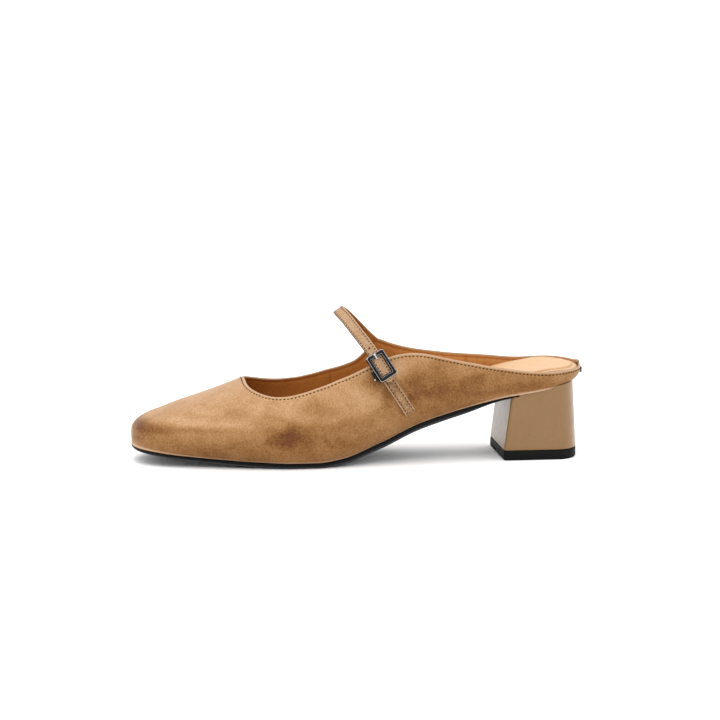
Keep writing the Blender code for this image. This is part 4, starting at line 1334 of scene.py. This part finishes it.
def make_buckle():
    """The frame, its bar, hinge and pin, and the prong.

    A profile row is the share of the bar's width in from its edge, the depth below its face (None
    at its underside), and 1 where black lacquer follows.
    """
    top = FRAME_LIFT + BUCKLE_DEPTH / 2
    under = top - BUCKLE_DEPTH
    bottom = BAR_LIFT - CENTRE_BAR / 2
    inside = BUCKLE_WIDTH - 2 * BUCKLE_SIDE
    profile = (
        (0.00, None, 1), (0.00, 0.00050, 0), (0.00, 0.00022, 0), (0.04, 0.00006, 0),
        (0.07, 0.0, 0), (0.11, 0.0, 0), (0.14, 0.00018, 1), (0.88, 0.00018, 0),
        (0.91, 0.0, 0), (0.94, 0.0, 0), (0.97, 0.00006, 0), (1.00, 0.00022, 0),
        (1.00, 0.00050, 1), (1.22, 0.00060, 1), (1.25, 0.00075, 1), (1.25, None, 1), (1.00, None, 1),
    )
    loops = []
    for share, drop, _ in profile:
        length = BUCKLE_LENGTH - 2 * BUCKLE_BAR * share
        width = BUCKLE_WIDTH - 2 * BUCKLE_SIDE * share
        plan = rounded_rectangle(length, width, BUCKLE_CORNER * (1 - share) + WINDOW_CORNER * share)
        if drop is None:
            z = np.where(np.abs(plan[:, 1]) > inside / 2 - SIDE_SLACK, bottom, under)
        else:
            z = np.full(len(plan), top - drop)
        loops.append(np.column_stack([plan, z]))
    count = len(loops[0])
    faces = tube_faces(len(loops), count, True)
    zones = np.repeat([row[2] for row in profile], count)
    points = buckle_place(np.concatenate(loops))
    piece = make_piece("buckle", points, faces, (STEEL, ENAMEL), zones, sharp=35)
    box_points, box_faces = box_mesh(
        ((BUCKLE_BAR - BUCKLE_LENGTH) / 2, 0, top),
        (2 * BUCKLE_BAR, PRONG_WIDTH + 2 * GAP, 2 * (PRONG_THICKNESS + GAP)),
    )
    cut(piece, "notch_cutter", buckle_place(box_points), box_faces, STEEL)
    settle(piece)
    dress(piece, "buckle_frame")
    reach = BUCKLE_WIDTH / 2 + BAR_PROUD
    rod("buckle_bar", (0, -reach, BAR_LIFT), (0, reach, BAR_LIFT), CENTRE_BAR / 2, CENTRE_BAR / 2)
    outer = -BUCKLE_WIDTH / 2
    hinge_points, hinge_faces = box_mesh(np.array((0, outer, BAR_LIFT)) + HINGE_PLACE, HINGE_SIZE)
    hinge = make_piece("buckle_hinge", buckle_place(hinge_points), hinge_faces, (DARK_STEEL,))
    soften = hinge.modifiers.new("soften", "BEVEL")
    soften.width = HINGE_ROUND
    soften.segments = 3
    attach(hinge, "root")
    pin = ((PIN_ALONG, outer - PIN_LENGTH, BAR_LIFT), (PIN_ALONG, outer, BAR_LIFT))
    rod("buckle_pin", *pin, PIN_RADIUS, PIN_RADIUS)
    tip = top - PRONG_THICKNESS / 2
    start = -BUCKLE_LENGTH / 2 + GAP
    root = (start + PRONG_LENGTH * PRONG_SEEN, 0, tip - PRONG_DIP)
    end = (start - PRONG_REST, 0, tip)
    prong = rod("prong", root, end, PRONG_WIDTH / 2, PRONG_WIDTH * PRONG_TIP)
    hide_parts("buckle_prong")


def rod(name, start, end, first_radius, last_radius):
    """A round bar with domed ends between two places of the buckle."""
    first = buckle_place([start])[0]
    last = buckle_place([end])[0]
    axis = last - first
    length = np.linalg.norm(axis)
    axis /= length
    side = np.cross(axis, buckle_axes()[3])
    side /= np.linalg.norm(side)
    other = np.cross(axis, side)
    loops = []
    sides = 16
    steps = np.concatenate([[0, 0.02, 0.05, 0.09], np.linspace(0.14, 0.86, 6), [0.91, 0.95, 0.98, 1]])
    for t in steps:
        radius = first_radius + (last_radius - first_radius) * t
        dome = math.sqrt(max(0.06, 1 - max(0.0, 1 - min(t, 1 - t) * length / radius) ** 2))
        spot = first + axis * length * t
        for k in range(sides):
            turn = 2 * math.pi * k / sides
            loops.append(spot + (side * math.cos(turn) + other * math.sin(turn)) * radius * dome)
    faces = [tuple(f) for f in tube_faces(len(steps), sides, False)]
    start_index = (len(steps) - 1) * sides
    faces += [tuple(range(sides))[::-1], tuple(range(start_index, start_index + sides))]
    piece = make_piece(name, loops, faces, (STEEL,), sharp=50)
    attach(piece, "root")
    return piece


def box_mesh(middle, size):
    corners = np.array([(a, b, c) for a in (-1, 1) for b in (-1, 1) for c in (-1, 1)], float)
    points = np.array(middle) + corners * np.array(size) / 2
    faces = [(0, 1, 3, 2), (4, 6, 7, 5), (0, 4, 5, 1), (2, 3, 7, 6), (0, 2, 6, 4), (1, 5, 7, 3)]
    return points, faces


# Sock
def make_sock(rings):
    """The sock, with the raised pad's edge at the seat, a painted shadow line along that edge, and a soft
    hollow for the heel.
    """
    normals = ring_normals(rings)
    inside = rings - normals * (UPPER_WALL + GAP)
    inside[0, :, 2] = sole_line(inside[0, :, 0])
    count = inside.shape[1]
    shares = share_at(inside[0, :, 0])
    target = sole_line(inside[0, :, 0]) + SEAT_PAD * LAST["sock"](shares)
    target = target + SEAT_LIFT * smooth(0.42, 0.26, shares)
    levels = []
    for share in (0.0, 0.25, 0.5, 0.75, 0.93, 1.0):
        loop = np.zeros((count, 3))
        for j in range(count):
            bottom = inside[0, j, 2]
            z = bottom + (target[j] - bottom) * share
            loop[j, 0] = np.interp(z, inside[:, j, 2], inside[:, j, 0])
            loop[j, 1] = np.interp(z, inside[:, j, 2], inside[:, j, 1])
            loop[j, 2] = z
        levels.append(loop)
    rim = levels[-1]
    half = count // 2
    across = (1 - np.cos(np.linspace(0, math.pi, 80))) / 2
    points = list(np.concatenate(levels))
    faces = [tuple(f) for f in tube_faces(len(levels), count, False)]
    top = []
    bottom = []
    for j in range(half + 1):
        partner = (count - j) % count
        if j in (0, half):
            top.append([(len(levels) - 1) * count + j])
            bottom.append([j])
            continue
        row = [(len(levels) - 1) * count + j]
        for share in across[1:-1]:
            row.append(len(points))
            points.append(rim[j] * (1 - share) + rim[partner] * share)
        top.append(row + [(len(levels) - 1) * count + partner])
        low = [j]
        for share in np.linspace(0, 1, 7)[1:-1]:
            low.append(len(points))
            points.append(levels[0][j] * (1 - share) + levels[0][partner] * share)
        bottom.append(low + [partner])
    faces += sheet_faces(top) + sheet_faces(bottom)
    points = np.array(points)
    inner = sorted({i for row in top for i in row})
    away, _ = distances(points[inner], rim)
    share = share_at(points[inner, 0])
    near = smooth(0.47, 0.40, share)
    pad = PAD_STEP * smooth(PAD_INSET - 0.0003, PAD_INSET + 0.0002, away) * near
    groove = 0.00030 * np.exp(-(((away - PAD_INSET + 0.0003) / 0.0003) ** 2)) * near
    dish = -0.0009 * smooth(0.004, 0.022, away) * np.exp(-(((share - 0.10) / 0.10) ** 2))
    crown = 0.0004 * smooth(0.003, 0.015, away) * smooth(0.20, 0.34, share)
    points[inner, 2] += pad - groove + dish + crown - 0.0002 * np.exp(-((away / 0.0006) ** 2))
    points[inner, 2] += 0.00010 * clouds(points[inner], 90.0, 8) * smooth(0.001, 0.004, away)
    pale = np.zeros(len(points))
    pale[inner] = 0.35 * near * smooth(PAD_INSET + 0.0001, PAD_INSET - 0.0004, away)
    # A painted shadow line along the pad's edge
    line = np.zeros(len(points))
    line[inner] = near * np.exp(-(((away - PAD_INSET + 0.0002) / 0.0004) ** 2))
    fields = {"burnish_seams_and_shade": line, "lift": np.zeros(len(points)), "pale": pale}
    piece = make_piece("sock", points, faces, (SOCK,), fields=fields, sharp=55)
    dress(piece, "insole")


def sheet_faces(rows):
    """Faces between rows across a closed outline, whose first and last rows are single points."""
    faces = []
    for a, b in zip(rows[:-1], rows[1:]):
        if len(a) == 1:
            faces += [(a[0], b[k], b[k + 1]) for k in range(len(b) - 1)]
        elif len(b) == 1:
            faces += [(a[k], b[0], a[k + 1]) for k in range(len(a) - 1)]
        else:
            faces += [(a[k], b[k], b[k + 1], a[k + 1]) for k in range(len(a) - 1)]
    return faces


# Sole
def offset_loop(loop, distance):
    """A loop moved outward in plan by a distance."""
    around = np.roll(loop, -1, axis=0) - np.roll(loop, 1, axis=0)
    normal = np.column_stack([around[:, 1], -around[:, 0], np.zeros(len(loop))])
    normal /= np.linalg.norm(normal, axis=1, keepdims=True)
    return loop - normal * distance


def sole_loop(back_x):
    """The outsole's plan: the feather line from its tongue under the seat to the toe."""
    start = share_at(back_x)
    shares = start + (1 - start) * SHARES
    sides = []
    for side in (OUT, IN):
        y = centre(shares) + side * half_width(shares, side, "sole")
        sides.append(np.column_stack([sole_x(shares), y, np.zeros(len(shares))]))
    return np.concatenate([sides[0], sides[1][-2::-1]])


def sole_edge(loop):
    """How far the sole stands out at each point of its plan. It comes in at the toe's tip."""
    return SOLE_PROUD * (1 - smooth(0.93, 1.0, share_at(loop[:, :1])))


def sole_depth(x):
    return SOLE_EDGE * LAST["edge"](share_at(x))


def flat_cap(points, start, count, steps):
    """Rows across one level of the sole, from its straight back to its toe."""
    rows = []
    half = (count + 1) // 2
    for j in range(half):
        partner = count - 1 - j
        if partner == j:
            rows.append([start + j])
            continue
        row = [start + j]
        for share in np.linspace(0, 1, steps)[1:-1]:
            row.append(len(points))
            points.append(points[start + j] * (1 - share) + points[start + partner] * share)
        rows.append(row + [start + partner])
    return rows


def make_outsole():
    """The outsole. A profile row is how far in from its edge, how far down, and what material follows."""
    plan = sole_loop(HEEL_FRONT - SOLE_TONGUE)
    depth = sole_depth(plan[:, 0])
    profile = (
        (SOLE_BEVEL + 0.0004, 1.0, 1),
        (SOLE_BEVEL, 0.97, 1),
        (SOLE_STEP + 0.0002, 0.62, 1),
        (SOLE_STEP + 0.00035, 0.56, 0),
        (0.00012, 0.50, 0),
        (0.0, 0.42, 0),
        (0.0, 0.10, 0),
        (0.00025, 0.0, 0),
    )
    levels = []
    for inset, drop, zone in profile:
        level = plan.copy()
        level[1:-1] = offset_loop(plan, sole_edge(plan) - inset)[1:-1]
        level[:, 2] = sole_line(level[:, 0]) - GAP - depth * drop
        levels.append(level)
    count = len(plan)
    points = list(np.concatenate(levels))
    faces = [tuple(f) for f in tube_faces(len(levels), count, False)]
    zones = list(np.repeat([row[2] for row in profile[:-1]], count))
    for level, zone in ((0, 2), (len(levels) - 1, 0)):
        rows = flat_cap(points, level * count, count, 13)
        made = sheet_faces(rows)
        faces += made
        zones += [zone] * len(made)
    piece = make_piece("sole", points, faces, (BLACK, BEVEL, TREAD), zones, sharp=35)
    dress(piece, "outsole")


# Heel
def heel_stations(back, front):
    """X of a D in plan, with how far its back has closed and how deep its corners cut."""
    rear = back + HEEL_TURN * (1 - np.cos(np.linspace(0, math.pi / 2, 40)))
    side = np.linspace(back + HEEL_TURN, front - HEEL_CORNER, 16)[1:-1]
    side = np.sort(np.append(side, [TONGUE_STEP, TONGUE_STEP + GAP / 2]))
    bend = front - HEEL_CORNER + HEEL_CORNER * np.sin(np.linspace(0, math.pi / 2, 9))
    x = np.concatenate([rear, side, bend])
    closing = falloff(1 - (x - back) / HEEL_TURN, TOE_SQUARENESS)
    into = np.clip((x - (front - HEEL_CORNER)) / HEEL_CORNER, 0, 1)
    return x, closing, HEEL_CORNER * (1 - np.sqrt(1 - into**2))


def heel_loop(share, inset=0.0):
    """Plan of one level of the heel, from its top under the seat (0) to its floor end (1)."""
    front = HEEL_FRONT - HEEL_BREAST_RAKE * (1 - share) - inset
    back = HEEL_FRONT - HEEL_LENGTH + HEEL_BACK_RAKE * (1 - share) + inset
    x, closing, corner = heel_stations(back, front)
    sides = []
    for side in (OUT, IN):
        seat = half_width(share_at(front), side, "sole") - HEEL_INSET
        half = ((1 - share) * seat + share * HEEL_WIDTH / 2 - inset) * closing - corner
        sides.append(np.column_stack([x, side * half]))
    return np.concatenate([sides[0], sides[1][:0:-1]])


def heel_top(x):
    """Height of the heel's top: below the seat, and lower where the sole's tongue lies."""
    under_tongue = x > TONGUE_STEP + GAP / 4
    return sole_line(x) + HEEL_SEAT - np.where(under_tongue, sole_depth(x) + GAP + HEEL_SEAT, 0)


def stacked(name, levels, material):
    """A closed block from D-shaped loops, with rows across its top and its bottom."""
    count = len(levels[0])
    points = list(np.concatenate(levels))
    faces = [tuple(f) for f in tube_faces(len(levels), count, False)]
    for level in (0, len(levels) - 1):
        start = level * count
        rows = []
        for j in range(count // 2 + 1):
            partner = (count - j) % count
            if partner == j:
                rows.append([start + j])
                continue
            row = [start + j]
            if j < count // 2:
                for share in np.linspace(0, 1, 9)[1:-1]:
                    row.append(len(points))
                    points.append(points[start + j] * (1 - share) + points[start + partner] * share)
            rows.append(row + [start + partner])
        if len(rows[-1]) != len(rows[-2]):
            faces.append(tuple(rows[-2]) + tuple(reversed(rows[-1])))
            rows = rows[:-1]
        faces += sheet_faces(rows)
    return make_piece(name, points, faces, (material,), sharp=40)


def make_heel():
    low = LIFT_THICKNESS + GAP
    levels = []
    rows = [(1.0, 0.0004), (0.995, 0.0001), (0.985, 0.0)]
    rows += [(share, 0.0) for share in np.linspace(0.95, 0, 20)]
    for share, inset in rows:
        plan = heel_loop(share, inset)
        z = low * share + heel_top(plan[:, 0]) * (1 - share)
        levels.append(np.column_stack([plan, z]))
    piece = stacked("heel_block", levels, COVER)
    dress(piece, "heel")


def make_top_lift():
    levels = []
    rows = [(0.0, 0.0005), (0.0002, 0.0002), (0.0005, 0.0), (0.0030, 0.0), (0.0050, 0.0)]
    for z, inset in rows + [(LIFT_THICKNESS, 0.0002)]:
        plan = heel_loop(1.0, inset)
        levels.append(np.column_stack([plan, np.full(len(plan), z)]))
    piece = stacked("heel_lift", levels, LIFT)
    points, faces = box_mesh(
        (HEEL_FRONT - HEEL_LENGTH / 2, GROOVE_ACROSS, 0.0),
        (HEEL_LENGTH * 2, GROOVE_WIDTH, GROOVE_DEPTH * 2),
    )
    cut(piece, "groove_cutter", points, faces, LIFT)
    settle(piece)
    dress(piece, "top_lift")


# Back trim
def rounded_box(name, middle, size, radius, material):
    """A box with rounded edges."""
    points, faces = box_mesh(middle, size)
    piece = make_piece(name, points, faces, (material,))
    work = bmesh.new()
    work.from_mesh(piece.data)
    bmesh.ops.bevel(work, geom=list(work.edges), offset=radius, segments=4, affect="EDGES", profile=0.6)
    work.to_mesh(piece.data)
    work.free()
    piece.data.shade_smooth()
    piece.data.set_sharp_from_angle(angle=math.radians(50))
    return piece


def make_back_trim():
    top = float(edge_height(-HEEL_BACK, OUT))
    plate_x = -HEEL_BACK - GAP - PLATE_THICKNESS / 2
    plate_z = top - PLATE_DROP - PLATE_HEIGHT / 2
    size = (PLATE_THICKNESS, PLATE_WIDTH, PLATE_HEIGHT)
    plate = rounded_box("back_plaque", (plate_x, 0, plate_z), size, 0.0003, DARK_STEEL)
    dress(plate, "back_plate")
    tab_x = -HEEL_BACK + TAB_LENGTH / 2 + GAP
    tab_z = top + GAP * 2 + TAB_HEIGHT / 2
    size = (TAB_LENGTH, TAB_WIDTH, TAB_HEIGHT)
    tab = rounded_box("back_loop", (tab_x, 0, tab_z), size, 0.0006, STRAP)
    dress(tab, "back_tab")


# Stage
def make_stage():
    material, tree, shader = new_material("floor", (0.93, 0.93, 0.93, 1.0), 0.85, Specular_IOR_Level=0.1)
    shade = ramp(tree, cloud(tree, 3.0, 2.0), ((0.2, (0.92, 0.92, 0.92, 1)), (0.8, (0.94, 0.94, 0.94, 1))))
    tree.links.new(shade, shader.inputs["Base Color"])
    points = [(a * FLOOR_HALF, b * FLOOR_HALF, 0) for a, b in ((-1, -1), (1, -1), (1, 1), (-1, 1))]
    mesh = bpy.data.meshes.new("floor")
    mesh.from_pydata(points, [], [(0, 1, 2, 3)])
    mesh.materials.append(material)
    floor = bpy.data.objects.new("floor", mesh)
    bpy.context.scene.collection.objects.link(floor)
    world = bpy.data.worlds.new("studio")
    world.use_nodes = True
    background = world.node_tree.nodes["Background"]
    background.inputs["Color"].default_value = (1.0, 1.0, 1.0, 1.0)
    background.inputs["Strength"].default_value = ROOM_LIGHT * LIGHT_LEVEL
    bpy.context.scene.world = world
    for name, spot, width, power in LIGHTS:
        light = bpy.data.lights.new(name, "AREA")
        light.shape = "SQUARE"
        light.size = width
        light.energy = power * LIGHT_LEVEL
        made = bpy.data.objects.new(name, light)
        made.location = spot
        made.rotation_euler = (Vector(LIGHTS_AIM) - Vector(spot)).to_track_quat("-Z", "Y").to_euler()
        bpy.context.scene.collection.objects.link(made)


def make_camera():
    data = bpy.data.cameras.new("camera")
    data.lens = CAMERA_LENS
    data.sensor_width = 36
    data.clip_start = 0.05
    camera = bpy.data.objects.new("camera", data)
    flat = math.cos(CAMERA_RISE)
    back = Vector((math.sin(CAMERA_TURN) * flat, math.cos(CAMERA_TURN) * flat, math.sin(CAMERA_RISE)))
    camera.location = Vector(CAMERA_TARGET) + back * CAMERA_DISTANCE
    camera.rotation_euler = (-back).to_track_quat("-Z", "Y").to_euler()
    bpy.context.scene.collection.objects.link(camera)
    bpy.context.scene.camera = camera


make_stage()
make_camera()
OUTER, NORMALS = make_upper()
topline_stitches(OUTER, NORMALS)
make_sock(outer_rings())
make_strap()
make_chape()
make_buckle()
make_outsole()
make_heel()
make_top_lift()
make_back_trim()
bpy.context.scene.view_settings.view_transform = "Standard"
